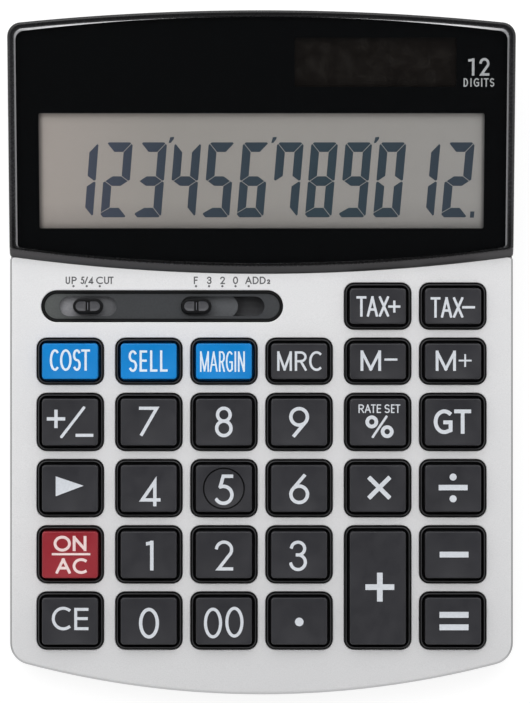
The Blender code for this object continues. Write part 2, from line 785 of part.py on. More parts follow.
def make_main_board(deck, material):
    outline = on_deck(straight_back_outline(BOARD_INSET, BOARD_BACK_Y))
    return make_object("main_board", [prism(outline, BOARD_BOTTOM_N, BOARD_TOP_N)], material, deck)


def make_driver_chip(deck, material):
    """The drop of resin over the chip, on the board's underside."""
    top = BOARD_BOTTOM_N - FIT
    x = HALF_WIDTH * CHIP_PLACE_SHARES[0]
    v = deck_v(FRONT_Y + KEYBOARD_LENGTH * CHIP_PLACE_SHARES[1])
    shell = [
        at(circle(CHIP_RADIUS * math.cos(math.radians(60)), ROUND_SIDES), top - CHIP_HEIGHT),
        at(circle(CHIP_RADIUS * math.cos(math.radians(30)), ROUND_SIDES), top - CHIP_HEIGHT / 2),
        at(circle(CHIP_RADIUS, ROUND_SIDES), top),
    ]
    make_object("driver_chip", [shell], material, deck, (x, v, 0))


# Slide switches


def rounding_sweep(length):
    """The x range that a piece of the rounding switch sweeps. It rests in the middle of its slot."""
    return centred(ROUNDING_SWITCH_X, length + 2 * SWITCH_PITCH * ROUNDING_STEPS)


def decimal_sweep(length):
    """The x range that a piece of the decimal switch sweeps. It rests at the left end of its slot."""
    travel = SWITCH_PITCH * DECIMAL_STEPS
    return centred(DECIMAL_SWITCH_X + travel / 2, length + travel)


def foot_sweep():
    return rounding_sweep(SLIDER_FOOT_LENGTH)[0], decimal_sweep(SLIDER_FOOT_LENGTH)[1]


def switch_bay():
    """The space under the deck for the panel's flange and both sliders."""
    flange = grown(centred(PANEL_X, PANEL_LENGTH), PANEL_FLANGE)
    left = min(rounding_sweep(SLIDER_LENGTH)[0], flange[0])
    right = max(decimal_sweep(SLIDER_LENGTH)[1], flange[1])
    height = max(SLIDER_HEIGHT, PANEL_HEIGHT + 2 * PANEL_FLANGE)
    front, back = centred(PANEL_V, height)
    return rectangle(grown((left, right), SWITCH_BAY_MARGIN), grown((front, back), SWITCH_BAY_MARGIN))


def make_switch_panel(deck, material):
    """The sunk strip with a slot for each switch, held by a flange under the deck."""
    length = PANEL_LENGTH - 2 * FIT
    height = PANEL_HEIGHT - 2 * FIT
    floor_length = length - 2 * PANEL_SLOPE
    floor_height = height - 2 * PANEL_SLOPE
    centre = (PANEL_X, PANEL_V)
    flange = stadium(PANEL_LENGTH + 2 * PANEL_FLANGE, PANEL_HEIGHT + 2 * PANEL_FLANGE, centre)
    panel = make_object("switch_panel", [[
        at(flange, PANEL_BOTTOM_N),
        at(flange, FRAME_TOP_N),
        at(stadium(length, height, centre), FRAME_TOP_N),
        at(stadium(length, height, centre), -PANEL_SINK),
        at(stadium(floor_length, floor_height, centre), PANEL_FLOOR_N),
    ]], material, deck)
    slots = []
    for sweep in (rounding_sweep(KNOB_LENGTH), decimal_sweep(KNOB_LENGTH)):
        left, right = grown(sweep, FIT)
        outline = stadium(right - left, SLOT_HEIGHT, ((left + right) / 2, PANEL_V))
        slots.append(prism(outline, PANEL_BOTTOM_N - OVERRUN, OVERRUN))
    cut(panel, make_helper("slot_cutter", slots, deck))


def make_slider(name, x, deck, material):
    """A switch slider: a plate under the panel, a knob through the slot and a foot down to the board."""
    plate = stadium(SLIDER_LENGTH, SLIDER_HEIGHT)
    place = (x, PANEL_V, 0)
    slider = make_object(name, [prism(plate, SLIDER_BOTTOM_N, SLIDER_TOP_N)], material, deck, place)
    root = (SLIDER_TOP_N + SLIDER_BOTTOM_N) / 2
    top_length = KNOB_LENGTH - 2 * KNOB_DRAFT
    top_height = KNOB_HEIGHT - 2 * KNOB_DRAFT
    knob = [
        at(stadium(KNOB_LENGTH, KNOB_HEIGHT), root),
        at(stadium(KNOB_LENGTH, KNOB_HEIGHT), KNOB_RISE - 2 * KNOB_DIMPLE),
        at(stadium(top_length, top_height), KNOB_RISE),
    ]
    foot_outline = rectangle(centred(0, SLIDER_FOOT_LENGTH), centred(0, SLIDER_FOOT_WIDTH))
    foot = prism(foot_outline, BOARD_TOP_N + FIT, root)
    join(slider, make_helper(f"{name}_grip", [knob], deck, place))
    join(slider, make_helper(f"{name}_foot", [foot], deck, place))
    pad_length = (top_length - KNOB_RIB) / 2 - 2 * KNOB_DIMPLE
    dimples = []
    for side in (-1, 1):
        middle = side * (KNOB_RIB / 2 + KNOB_DIMPLE + pad_length / 2)
        pad = (centred(middle, pad_length), centred(0, top_height - 2 * KNOB_DIMPLE))
        wide_pad = (grown(pad[0], KNOB_DIMPLE), grown(pad[1], KNOB_DIMPLE))
        dimples.append([
            at(rectangle(*pad), KNOB_RISE - KNOB_DIMPLE),
            at(rectangle(*wide_pad), KNOB_RISE + FIT),
        ])
    cut(slider, make_helper(f"{name}_dimples", dimples, deck, place))


# Display


def make_lcd_panel(head, material):
    """Two bonded glass plates. The back one is taller, and its bare edge carries the contacts."""
    x_range = centred(0, LCD_WIDTH)
    back_s = LCD_FRONT_S + LCD_HEIGHT
    front_glass = rectangle(x_range, (LCD_FRONT_S, back_s))
    back_glass = rectangle(x_range, (LCD_FRONT_S - LCD_CONTACT_LEDGE, back_s))
    make_object("lcd_panel", [[
        at(back_glass, -LCD_DEPTH - 2 * LCD_GLASS),
        at(back_glass, -LCD_DEPTH - LCD_GLASS),
        at(front_glass, -LCD_DEPTH - LCD_GLASS),
        at(front_glass, -LCD_DEPTH),
    ]], material, head)


def solar_limits():
    return centred(SOLAR_X, SOLAR_WIDTH), (SOLAR_FRONT_S, SOLAR_FRONT_S + SOLAR_HEIGHT)


def make_solar_panel(head, material):
    outline = rectangle(*solar_limits())
    make_object("solar_panel", [prism(outline, -SOLAR_DEPTH - SOLAR_THICKNESS, -SOLAR_DEPTH)], material, head)


def make_display_holder(head, material):
    """The tray behind the window, with pockets for the two panels and a channel for the ribbon."""
    outline = head_outline(WALL + FIT, CHIN_LEAN + RIM_FRONT + HOLDER_FRONT_GAP)
    lcd_floor = -LCD_DEPTH - 2 * LCD_GLASS - FIT
    top = raised(head_z, -WINDOW_THICKNESS - FIT - LEDGE_THICKNESS - FIT)
    bottom = raised(head_z, lcd_floor - HOLDER_FLOOR)
    holder = make_object("display_holder", [prism(outline, bottom, top)], material)
    lcd_pocket = rectangle(
        grown(centred(0, LCD_WIDTH), FIT),
        (LCD_FRONT_S - LCD_CONTACT_LEDGE - FIT, LCD_FRONT_S + LCD_HEIGHT + FIT),
    )
    solar_pocket = rectangle(*(grown(limits, FIT) for limits in solar_limits()))
    channel = rectangle(grown(centred(0, RIBBON_WIDTH), FIT), (head_s(SEAM_Y), LCD_FRONT_S))
    channel_floor = -LCD_DEPTH - LCD_GLASS - FIT
    cut(holder, make_helper("display_pocket_cutter", [
        prism(lcd_pocket, lcd_floor, OVERRUN),
        prism(solar_pocket, -SOLAR_DEPTH - SOLAR_THICKNESS - FIT, OVERRUN),
    ], head))
    cut(holder, make_helper("ribbon_channel_cutter", [prism(channel, channel_floor, OVERRUN)], head))
    return holder


def make_lcd_ribbon(head, material):
    """The flexible strip from the glass's bare edge, down in front of the holder and onto the board."""
    on_glass = -LCD_DEPTH - LCD_GLASS + FIT + RIBBON_THICKNESS / 2
    drop_y = SEAM_Y + CHIN_LEAN + RIM_FRONT + HOLDER_FRONT_GAP / 2
    up = Vector((-math.sin(HEAD_TILT), math.cos(HEAD_TILT)))
    along = Vector((math.cos(HEAD_TILT), math.sin(HEAD_TILT)))
    base = Vector((0, head_z(0)))
    start = base + along * (LCD_FRONT_S - LCD_CONTACT_LEDGE + RIBBON_LAP) + up * on_glass
    to_drop = (start.x - drop_y) / math.cos(HEAD_TILT)
    turn = start - along * to_drop
    board_top = raised(deck_z, BOARD_TOP_N / math.cos(DECK_TILT) + FIT + RIBBON_THICKNESS / 2)
    end_y = drop_y + RIBBON_LANDING
    path = bent_path([start, turn, (drop_y, board_top(drop_y)), (end_y, board_top(end_y))])
    make_object("lcd_ribbon", [strip_rings(path, centred(0, RIBBON_WIDTH), RIBBON_THICKNESS)], material)


# Fasteners


def four_places(side_inset, front_inset, back_inset):
    """One place near each corner of the case, front left first."""
    x = HALF_WIDTH - side_inset
    return [(side * x, y) for y in (FRONT_Y + front_inset, BACK_Y - back_inset) for side in (-1, 1)]


def screw_places():
    return four_places(SCREW_SIDE_INSET, SCREW_FRONT_INSET, SCREW_BACK_INSET)


def pillar_top_z(y):
    """A pillar ends just under the board, and the boss above comes down to it."""
    return deck_z(y) + BOARD_BOTTOM_N / math.cos(DECK_TILT) - FIT


def screw_head_z(y):
    return pillar_top_z(y) - SCREW_LAND - FIT


def make_fixings(bottom_case, cover, housing, plates):
    """Pillars in the bottom case and bosses under the upper shells, bored for the case screws."""
    for number, (x, y) in enumerate(screw_places(), start=1):
        centre = (x, y)
        land = pillar_top_z(y) - SCREW_LAND
        boss_bottom = pillar_top_z(y) + FIT
        tip = screw_head_z(y) + SCREW_LENGTH
        pillar = prism(circle(PILLAR_RADIUS, SCREW_SIDES, centre), FOOT_HEIGHT + FLOOR / 2, pillar_top_z(y))
        join(bottom_case, make_helper(f"pillar_{number}", [pillar]))
        head_hole = prism(circle(SCREW_HEAD_RADIUS + FIT, SCREW_SIDES, centre), FOOT_HEIGHT - OVERRUN, land)
        cut(bottom_case, make_helper(f"head_hole_{number}", [head_hole]))
        shank_hole = prism(circle(SCREW_RADIUS + FIT, SCREW_SIDES, centre), land - OVERRUN, tip + FIT)
        bore = make_helper(f"bore_{number}", [shank_hole])
        cut(bottom_case, bore)
        shell, ceiling = (cover, raised(deck_z, -DECK_THICKNESS / 2))
        if y > SEAM_Y:
            shell, ceiling = (housing, raised(head_z, -WINDOW_THICKNESS - FIT - LEDGE_THICKNESS / 2))
        boss = prism(circle(BOSS_RADIUS, SCREW_SIDES, centre), boss_bottom, ceiling)
        join(shell, make_helper(f"boss_{number}", [boss]))
        cut(shell, bore)
        relief = prism(circle(BOSS_RADIUS + FIT, SCREW_SIDES, centre), FOOT_HEIGHT, ceiling)
        relief_cutter = make_helper(f"relief_{number}", [relief])
        for plate in plates:
            cut(plate, relief_cutter)


def make_screw(name, centre, head_bottom, head_height, length, material):
    """A self-tapping screw with a cross recess, point upwards."""
    neck = head_bottom + head_height
    shell = [
        at(circle(SCREW_HEAD_RADIUS, SCREW_SIDES), head_bottom),
        at(circle(SCREW_HEAD_RADIUS, SCREW_SIDES), neck),
        at(circle(SCREW_RADIUS, SCREW_SIDES), neck),
        at(circle(SCREW_RADIUS, SCREW_SIDES), neck + length - SCREW_POINT),
        at(circle(SCREW_RADIUS / 2, SCREW_SIDES), neck + length),
    ]
    location = (*centre, 0)
    screw = make_object(name, [shell], material, location=location)
    low = head_bottom - OVERRUN
    high = head_bottom + head_height * RECESS_DEPTH_SHARE
    arm = centred(0, 2 * SCREW_RADIUS)
    blade = centred(0, RECESS_WIDTH)
    for number, outline in enumerate((rectangle(arm, blade), rectangle(blade, arm)), start=1):
        cut(screw, make_helper(f"{name}_recess_{number}", [prism(outline, low, high)], location=location))


def make_case_screws(material):
    for number, (x, y) in enumerate(screw_places(), start=1):
        bottom = screw_head_z(y) - SCREW_HEAD_HEIGHT
        make_screw(f"case_screw_{number}", (x, y), bottom, SCREW_HEAD_HEIGHT, SCREW_LENGTH, material)


def make_board_posts(bottom_case):
    """Posts on the floor that the board rests on."""
    posts = []
    for x_share, y_share in POST_PLACE_SHARES:
        centre = (HALF_WIDTH * x_share, FRONT_Y + KEYBOARD_LENGTH * y_share)
        posts.append(prism(circle(POST_RADIUS, SCREW_SIDES, centre), FOOT_HEIGHT + FLOOR / 2, pillar_top_z))
    join(bottom_case, make_helper("post_blocks", posts))


def make_feet(bottom_case, material):
    """Round rubber feet, each stuck in a shallow recess."""
    top = FOOT_HEIGHT + FOOT_RECESS
    places = four_places(FOOT_SIDE_INSET, FOOT_FRONT_INSET, FOOT_BACK_INSET)
    recesses = []
    for number, centre in enumerate(places, start=1):
        make_object(f"rubber_foot_{number}", [[
            at(circle(FOOT_RADIUS - FOOT_CHAMFER, FOOT_SIDES), 0),
            at(circle(FOOT_RADIUS, FOOT_SIDES), FOOT_CHAMFER),
            at(circle(FOOT_RADIUS, FOOT_SIDES), top - FIT),
        ]], material, location=(*centre, 0))
        recesses.append(prism(circle(FOOT_RADIUS + FIT, FOOT_SIDES, centre), FOOT_HEIGHT - OVERRUN, top))
    cut(bottom_case, make_helper("foot_recess_cutter", recesses))


# Button cell


def pocket_limits():
    return centred(CELL_X, 2 * POCKET_HALF_WIDTH), (POCKET_FRONT_Y, POCKET_BACK_Y)


def cover_limits():
    x_range, (front, back) = pocket_limits()
    return grown(x_range, COVER_SEAT), (front - COVER_SEAT, back + COVER_TAIL)


def contact_x_range(side):
    return centred(CELL_X + side * CONTACT_OFFSET, CONTACT_WIDTH)


def make_battery_bay(bottom_case):
    """A box on the floor that is open below, with a recess round it for the cover."""
    floor = FOOT_HEIGHT + FLOOR / 2
    cover = [grown(limits, FIT) for limits in cover_limits()]
    base = rectangle(*(grown(limits, BAY_WALL) for limits in cover))
    tower = rectangle(*(grown(limits, BAY_WALL) for limits in pocket_limits()))
    boss = circle(PILLAR_RADIUS, SCREW_SIDES, (CELL_X, COVER_SCREW_Y))
    bore = circle(SCREW_RADIUS + FIT, SCREW_SIDES, (CELL_X, COVER_SCREW_Y))
    bore_top = FOOT_HEIGHT + COVER_SCREW_HEAD_HEIGHT + COVER_SCREW_LENGTH + 2 * FIT
    join(bottom_case, make_helper("bay_base", [prism(base, floor, SEAT_Z + BAY_WALL)]))
    join(bottom_case, make_helper("bay_tower", [prism(tower, floor, POCKET_ROOF_Z + BAY_WALL)]))
    join(bottom_case, make_helper("bay_boss", [prism(boss, floor, bore_top + BAY_WALL)]))
    under = FOOT_HEIGHT - OVERRUN
    cut(bottom_case, make_helper("cover_recess_cutter", [prism(rectangle(*cover), under, SEAT_Z)]))
    cut(bottom_case, make_helper("pocket_cutter", [prism(rectangle(*pocket_limits()), under, POCKET_ROOF_Z)]))
    cut(bottom_case, make_helper("cover_bore_cutter", [prism(bore, SEAT_Z - OVERRUN, bore_top)]))
    z_range = grown(centred(CONTACT_Z, CONTACT_THICKNESS), FIT)
    y_range = grown((POCKET_FRONT_Y - BAY_WALL, POCKET_FRONT_Y), FIT)
    slits = [prism(rectangle(grown(contact_x_range(side), FIT), y_range), *z_range) for side in (-1, 1)]
    cut(bottom_case, make_helper("contact_slit_cutter", slits))


def make_button_cell(material):
    can_top = CELL_CAP_Z - CELL_CAP_HEIGHT
    make_object("button_cell", [[
        at(circle(CELL_RADIUS, ROUND_SIDES), SEAT_Z),
        at(circle(CELL_RADIUS, ROUND_SIDES), can_top),
        at(circle(CELL_CAP_RADIUS, ROUND_SIDES), can_top),
        at(circle(CELL_CAP_RADIUS, ROUND_SIDES), CELL_CAP_Z),
    ]], material, location=(CELL_X, CELL_Y, 0))


def make_contacts(material):
    """Two spring strips from the cell, through the bay's wall, to the board's underside."""
    board_y = BOARD_BACK_Y - CONTACT_LAP
    board_bottom = raised(deck_z, BOARD_BOTTOM_N / math.cos(DECK_TILT) - FIT - CONTACT_THICKNESS / 2)
    step_y = BOARD_BACK_Y + CONTACT_SPAN / 2
    tail = [(step_y, CONTACT_Z), (BOARD_BACK_Y, board_bottom(BOARD_BACK_Y)), (board_y, board_bottom(board_y))]
    cap_path = bent_path([(CELL_Y, CONTACT_Z)] + tail)
    can_y = POCKET_FRONT_Y + FIT + CONTACT_THICKNESS / 2
    can_path = bent_path([(can_y, SEAT_Z + CELL_CAP_HEIGHT), (can_y, CONTACT_Z)] + tail)
    for name, path, side in (("contact_negative", cap_path, -1), ("contact_positive", can_path, 1)):
        make_object(name, [strip_rings(path, contact_x_range(side), CONTACT_THICKNESS)], material)


def make_battery_cover(material):
    """The plate over the cell, with finger grooves and a sunk hole for its screw."""
    (left, right), (front, back) = cover_limits()
    middle_x = (left + right) / 2
    middle_y = (front + back) / 2
    plate = rounded_rectangle(right - left, back - front, COVER_CORNER, (middle_x, middle_y))
    cover = make_object("battery_cover", [prism(plate, FOOT_HEIGHT, COVER_TOP_Z)], material)
    centre = (CELL_X, COVER_SCREW_Y)
    sink = FOOT_HEIGHT + COVER_SCREW_HEAD_HEIGHT + FIT
    head_hole = circle(SCREW_HEAD_RADIUS + FIT, SCREW_SIDES, centre)
    shank_hole = circle(SCREW_RADIUS + FIT, SCREW_SIDES, centre)
    cut(cover, make_helper("cover_sink_cutter", [prism(head_hole, FOOT_HEIGHT - OVERRUN, sink)]))
    cut(cover, make_helper("cover_hole_cutter", [prism(shank_hole, sink - OVERRUN, COVER_TOP_Z + OVERRUN)]))
    grooves = []
    for number in range(GRIP_GROOVES):
        groove_y = front + COVER_SEAT + GRIP_GROOVE_WIDTH * (1 + 2 * number)
        outline = rectangle(centred(middle_x, GRIP_GROOVE_LENGTH), centred(groove_y, GRIP_GROOVE_WIDTH))
        grooves.append(prism(outline, FOOT_HEIGHT - OVERRUN, FOOT_HEIGHT + GRIP_GROOVE_DEPTH))
    cut(cover, make_helper("grip_groove_cutter", grooves))


def main():
    for obj in list(bpy.data.objects):
        bpy.data.objects.remove(obj)

    silver = make_material("silver_paint", (0.72, 0.72, 0.72), 0.38, 0.55)
    black = make_material("black_plastic", (0.025, 0.025, 0.027), 0.42)
    case_black = make_material("case_plastic", (0.035, 0.035, 0.038), 0.5)
    acrylic = make_material("window_acrylic", (0.01, 0.01, 0.012), 0.04, transmission=0.2)
    key_dark = make_material("key_plastic", (0.045, 0.045, 0.05), 0.45)
    key_blue = make_material("key_blue_plastic", (0.015, 0.17, 0.48), 0.4)
    key_red = make_material("key_red_plastic", (0.34, 0.02, 0.04), 0.4)
    panel_grey = make_material("panel_plastic", (0.065, 0.065, 0.07), 0.5)
    rubber = make_material("membrane_rubber", (0.3, 0.3, 0.3), 0.8)
    foot_rubber = make_material("foot_rubber", (0.03, 0.03, 0.03), 0.85)
    laminate = make_material("board_laminate", (0.03, 0.18, 0.08), 0.5)
    resin = make_material("chip_resin", (0.01, 0.01, 0.01), 0.3)
    lcd_glass = make_material("lcd_glass", (0.33, 0.34, 0.31), 0.15)
    solar_glass = make_material("solar_glass", (0.03, 0.015, 0.015), 0.1)
    film = make_material("ribbon_film", (0.45, 0.25, 0.06), 0.35)
    steel = make_material("steel", (0.55, 0.55, 0.56), 0.3, 1.0)

    deck = make_frame("deck_frame", deck_z(0), DECK_TILT)
    head = make_frame("head_frame", head_z(0), HEAD_TILT)
    places = key_places()

    bottom_case = make_bottom_case(case_black)
    cover = make_keyboard_cover(silver)
    openings = key_prisms(places, 0, -DECK_THICKNESS - OVERRUN, OVERRUN)
    panel_opening = stadium(PANEL_LENGTH, PANEL_HEIGHT, (PANEL_X, PANEL_V))
    openings.append(prism(panel_opening, -DECK_THICKNESS - OVERRUN, OVERRUN))
    cut(cover, make_helper("opening_cutter", openings, deck))
    housing = make_head_housing(black)

    make_display_window(acrylic)
    make_lcd_panel(head, lcd_glass)
    make_solar_panel(head, solar_glass)
    make_lcd_ribbon(head, film)
    holder = make_display_holder(head, panel_grey)

    frame = make_key_frame(places, deck, black)
    membrane = make_membrane(places, deck, rubber)
    board = make_main_board(deck, laminate)
    make_driver_chip(deck, resin)
    make_keys(places, deck, key_dark, key_blue, key_red)

    make_switch_panel(deck, panel_grey)
    make_slider("rounding_switch", ROUNDING_SWITCH_X, deck, black)
    make_slider("decimal_switch", DECIMAL_SWITCH_X, deck, black)

    make_fixings(bottom_case, cover, housing, (frame, membrane, board, holder))
    make_case_screws(steel)
    make_board_posts(bottom_case)
    make_feet(bottom_case, foot_rubber)

    make_battery_bay(bottom_case)
    make_button_cell(steel)
    make_contacts(steel)
    make_battery_cover(case_black)
    screw_place = (CELL_X, COVER_SCREW_Y)
    make_screw("cover_screw", screw_place, FOOT_HEIGHT, COVER_SCREW_HEAD_HEIGHT, COVER_SCREW_LENGTH, steel)


main()
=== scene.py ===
"""Desktop calculator: the visual model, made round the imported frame.

Shapes are worked out in millimetres in three frames: the table's (x, y, z), the keyboard deck's (x, v, n)
and the display head's (x, s, n), both with n = 0 on the face. A piece turns into metres when it is made.
"""
import json
import math
from functools import partial

import bmesh
import bpy
from mathutils import Matrix, Vector, geometry

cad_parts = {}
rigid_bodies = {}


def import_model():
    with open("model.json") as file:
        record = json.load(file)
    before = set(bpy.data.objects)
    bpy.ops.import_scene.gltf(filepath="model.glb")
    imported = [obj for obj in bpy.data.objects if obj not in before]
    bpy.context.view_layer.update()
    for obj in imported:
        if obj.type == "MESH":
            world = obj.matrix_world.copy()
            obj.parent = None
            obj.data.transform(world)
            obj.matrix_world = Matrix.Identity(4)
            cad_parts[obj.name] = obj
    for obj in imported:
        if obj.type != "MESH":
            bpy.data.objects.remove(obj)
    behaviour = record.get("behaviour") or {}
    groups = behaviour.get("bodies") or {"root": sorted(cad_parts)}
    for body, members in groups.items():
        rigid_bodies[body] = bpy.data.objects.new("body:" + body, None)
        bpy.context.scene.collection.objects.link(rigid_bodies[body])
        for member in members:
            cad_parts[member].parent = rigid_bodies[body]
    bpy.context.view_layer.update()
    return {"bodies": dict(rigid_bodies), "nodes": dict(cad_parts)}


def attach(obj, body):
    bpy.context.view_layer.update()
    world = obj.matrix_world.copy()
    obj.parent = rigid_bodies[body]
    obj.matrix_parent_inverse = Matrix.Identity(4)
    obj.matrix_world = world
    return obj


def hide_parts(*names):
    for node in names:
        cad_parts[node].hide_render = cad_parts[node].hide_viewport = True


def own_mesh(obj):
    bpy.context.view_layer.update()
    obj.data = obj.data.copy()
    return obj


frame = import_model()

MM = 0.001
SAME_PLACE = 1e-6
FIT = 0.3
EDGE_BREAK = 0.15

# Camera, square to the deck
CAMERA_DISTANCE = 1250
CAMERA_AIM = (1.0, 1.25)
VIEW_WIDTH = 152.8
SENSOR_WIDTH = 36

# Case, in plan
HALF_WIDTH = 72.525
FRONT_Y = -97.486
BACK_Y = 97.486
SEAM_Y = 23.647
FRONT_RADIUS = 267
BACK_RADIUS = 706
SEAM_RADIUS = 534
FRONT_CORNER = 6.3
BACK_CORNER = 4
SEAM_CORNER = 0.8
FRONT_ARC_STEPS = 28
BACK_ARC_STEPS = 24
CORNER_STEPS = 9
SEAM_GAP = 0.1

# Case, heights and walls
FOOT_HEIGHT = 2
SKIRT = 6
WALL = 1.8
FLOOR = 1.8
SIDE_DRAFT = 0.6
UNDERSIDE_ROUND = 1.5
DECK_THICKNESS = 1.6
DECK_EDGE_ROUND = 1
SHADED_EDGE_STEPS = 6
OPENING_LIP = 0.3
ROUND_STEPS = 5

# Display head
CHIN_LEAN = 2
HEAD_EDGE_ROUND = 0.9
RIM_SIDE = 1.7
RIM_BACK = 1.65
RIM_FRONT = 0.65
RIM_LIP = 0.15
CHIN_ROUND_SHARE = 0.14
CHIN_STEPS = 5
WINDOW_CORNER = 2.6
WINDOW_FRONT_CORNER = 1.1
LEDGE_WIDTH = 3
LEDGE_THICKNESS = 1.2
WINDOW_THICKNESS = 1.6
WINDOW_BEVEL = 0.5
BEVEL_SIDE = 0.58
BEVEL_BACK = 0.07
BEVEL_FRONT = 0.08
BEVEL_BACK_RADIUS_SHARE = 0.82
BEVEL_FRONT_RADIUS_SHARE = 1.03
WINDOW_GAP = 0.1
PRINT_GAP = 0.03
PRINT_THICKNESS = 0.1
LCD_OPENING = (-63.85, 37.2, 63.85, 70.57)
SOLAR_OPENING = (9.43, 78.22, 55.65, 92.34)
PRINT_CORNER = 0.5

# Keys: insets are from the opening in the deck, heights are n
OPENING_MARGIN = 0.7
OPENING_CORNER = 2.9
BODY_INSET = 1.4
HOLLOW_INSET = 2.7
TOP_INSET = 1.72
KEY_EDGE_ROUND = 0.24
EDGE_INSET = TOP_INSET + KEY_EDGE_ROUND
BODY_CORNER = 1.3
TOP_CORNER = 0.85
FLANGE_CORNER = 0.3
KEY_RISE = 3
KEY_DISH = 0.3
KEY_BOTTOM = -4.2
KEY_CEILING = -2.2
FLANGE_TOP = -3.4
DISH_RINGS = (0.92, 0.8, 0.66, 0.5, 0.34, 0.18, 0.06)
LOCATOR_RADIUS = 6.05
LOCATOR_GROOVE = 0.45
LOCATOR_GROOVE_WIDTH = 0.42
LOCATOR_RIM = 2.87
LOCATOR_DEPTH = 0.55
LOCATOR_KEY = "key_5"
LOCATOR_STEPS = (0.2, 0.45, 0.75, 1)
GROOVE_STEPS = ((0.3, 1), (0.7, 1), (1, 0.05))
KEY_CORNER_STEPS = 7
HOLLOW_CORNER = 0.2

# Key frame and its rims
FRAME_TOP = -1.9
FRAME_BOTTOM = -3.1
RIM_WALL = ((0.3, FRAME_TOP), (0.33, 0.1), (0.42, 0.4), (0.52, 0.54))
RIM_CREST = ((0.6, 0.59), (0.68, 0.6), (0.76, 0.56), (0.82, 0.46))
RIM_SLOPE = ((0.95, 0.0), (1.1, -0.6), (1.1, FRAME_BOTTOM))

# Switches
PANEL_FLANGE = 1
PANEL_SINK = 0.2
PANEL_REACH = 0.2
PANEL_FLOOR = -1.0
PANEL_BOTTOM = -2.7
PANEL_LIP = 0.2
PANEL_BANK = ((0.1, -0.26), (0.42, -0.88), (0.5, PANEL_FLOOR))
SLOT_HEIGHT = 5.7
SWITCH_PITCH = 3.78
DECIMAL_STEPS = 4
BAY_CORNER = 0.5
KNOB_LENGTH = 8.4
KNOB_HEIGHT = 4.1
KNOB_RISE = 0.9
KNOB_SKIN = 0.15
KNOB_DRAFT = 0.12
KNOB_ROUND = 0.3
KNOB_RIB = 1.25
KNOB_RIM = 0.56
KNOB_CREST = 0.3
KNOB_CREST_LENGTH = 2.3
KNOB_CREST_RISE = 0.12
KNOB_DIMPLE = 0.42
KNOB_SINK = 0.2
KNOB_FOOT = -0.6
PAD_STEPS = (0.25, 0.5, 0.75, 1)
PAD_CORNER = 0.3
PAD_LIP = 0.06
PAD_LIP_DROP = 0.05
PAD_REACH = 0.7
CREST_BEVEL = 0.1
SLIDER_ROUND = 0.15
SLIDER_LENGTH = 24
SLIDER_HEIGHT = 6.8
SLIDER_TOP = -3.0
SLIDER_BOTTOM = -3.8

# Key membrane
SHEET_INSET = 4.0
SHEET_THICKNESS = 0.6
SHEET_BACK_RADIUS = 9000.0
DOME_FOOT = 3.9
DOME_PROFILE = ((1.0, 0.06), (0.94, 0.14), (0.66, 0.62), (0.6, 0.7), (0.59, 0.93), (0.54, 1.0))

# Underside
FOOT_RADIUS = 5
FOOT_RECESS = 0.7
SCREW_HEAD_RADIUS = 1.8
SCREW_RADIUS = 1
COVER_RECESS_ROUND = 1.5
ROUND_SIDES = 48
FOOT_PROFILE = ((2.6, 0.12), (3.0, 0.1), (3.4, 0.0), (4.4, 0.0), (4.75, 0.06), (4.93, 0.2), (5.0, 0.45))
CASE_SCREW_HEAD = 1.4
COVER_SCREW_HEAD = 0.7
SCREW_EDGE_ROUND = 0.25
CROSS_MOUTH = (1.05, 0.55)
CROSS_FLOOR = (0.75, 0.4)
CROSS_DEPTH_SHARE = 0.55
THREAD_TURN = ((0.2, 0.05), (0, 0.3), (0.2, 0.55))
THREAD_PITCH = 0.6
THREAD_END = 1.2
BOSS_RADIUS = 3.2
BOSS_DEPTH = 1.6
BORE_BREAK = 0.3
COVER_BREAK = 0.2
COVER_DEPTH = 1.8
LID_HEIGHT = 3.2
LID_MARGIN = 1.4
COVER_EDGE_ROUND = 0.25
COVER_LAND = 1
GROOVE_EDGE = 1.5
GROOVE_LENGTH = 7
GROOVE_WIDTH = 0.9
GROOVE_PROFILE = ((0.2, 0.2, 0), (0, 0, 0.12), (-0.4, -0.4, 0.4))

# Legends: boxes are pixels of the photograph from a key's centre, strokes are pixels too
KEY_PIXEL = 0.2877
LEGEND_TRIM = 0.22
LEGEND_LIFT = 0.025
LEGEND_SINK = 0.06
LEGEND_GRID = 1.2
MITRE_LIMIT = 5
ARC_STEP = 9
MERGE_DISTANCE = 1e-5
LABEL_LIFT, LABEL_SINK = 0.015, 0.05
WORDS_LIFT, WORDS_SINK = 0.02, 0.04

# Liquid crystal digits, in the head's frame
DIGIT_WIDTH = 7.82
DIGIT_HEIGHT = 21.95
DIGIT_MIDDLE = 10.62
DIGIT_PITCH = 9.809
DIGIT_LEFT = -55.36
DIGIT_FRONT = 40.1
DIGIT_LEAN = 0.0842
SEGMENT_WIDTH = 2.62
SEGMENT_HEIGHT = 2.95
SEGMENT_CORNER = 0.85
SEGMENT_FOOT = 1.35
SEGMENT_TIP = 0.55
SEGMENT_SHOULDER = 0.35
SEGMENT_GAP = 0.09
SEGMENT_LIFT = 0.03
TICK_AFTER = (2, 5, 8)


# Frames on the two sloping faces


def face_plane(node):
    """The frame on a node's largest upward facet, with its origin over the case's centre line."""
    facets = [facet for facet in frame["nodes"][node].data.polygons if facet.normal.z > 0.5]
    face = max(facets, key=lambda facet: facet.area)
    tilt = math.atan2(-face.normal.y, face.normal.z)
    height = (face.center.z - face.center.y * math.tan(tilt)) / MM
    return Matrix.Translation((0, 0, height)) @ Matrix.Rotation(tilt, 4, "X")


DECK = face_plane("keyboard_cover")
HEAD = face_plane("display_window")


def slope(plane):
    """How fast a sloping face rises with y."""
    axis = plane.col[1]
    return axis.z / axis.y


def deck_z(y):
    return DECK.translation.z + y * slope(DECK)


def head_z(y):
    return HEAD.translation.z + y * slope(HEAD)


def parting_z(y):
    return deck_z(y) - SKIRT


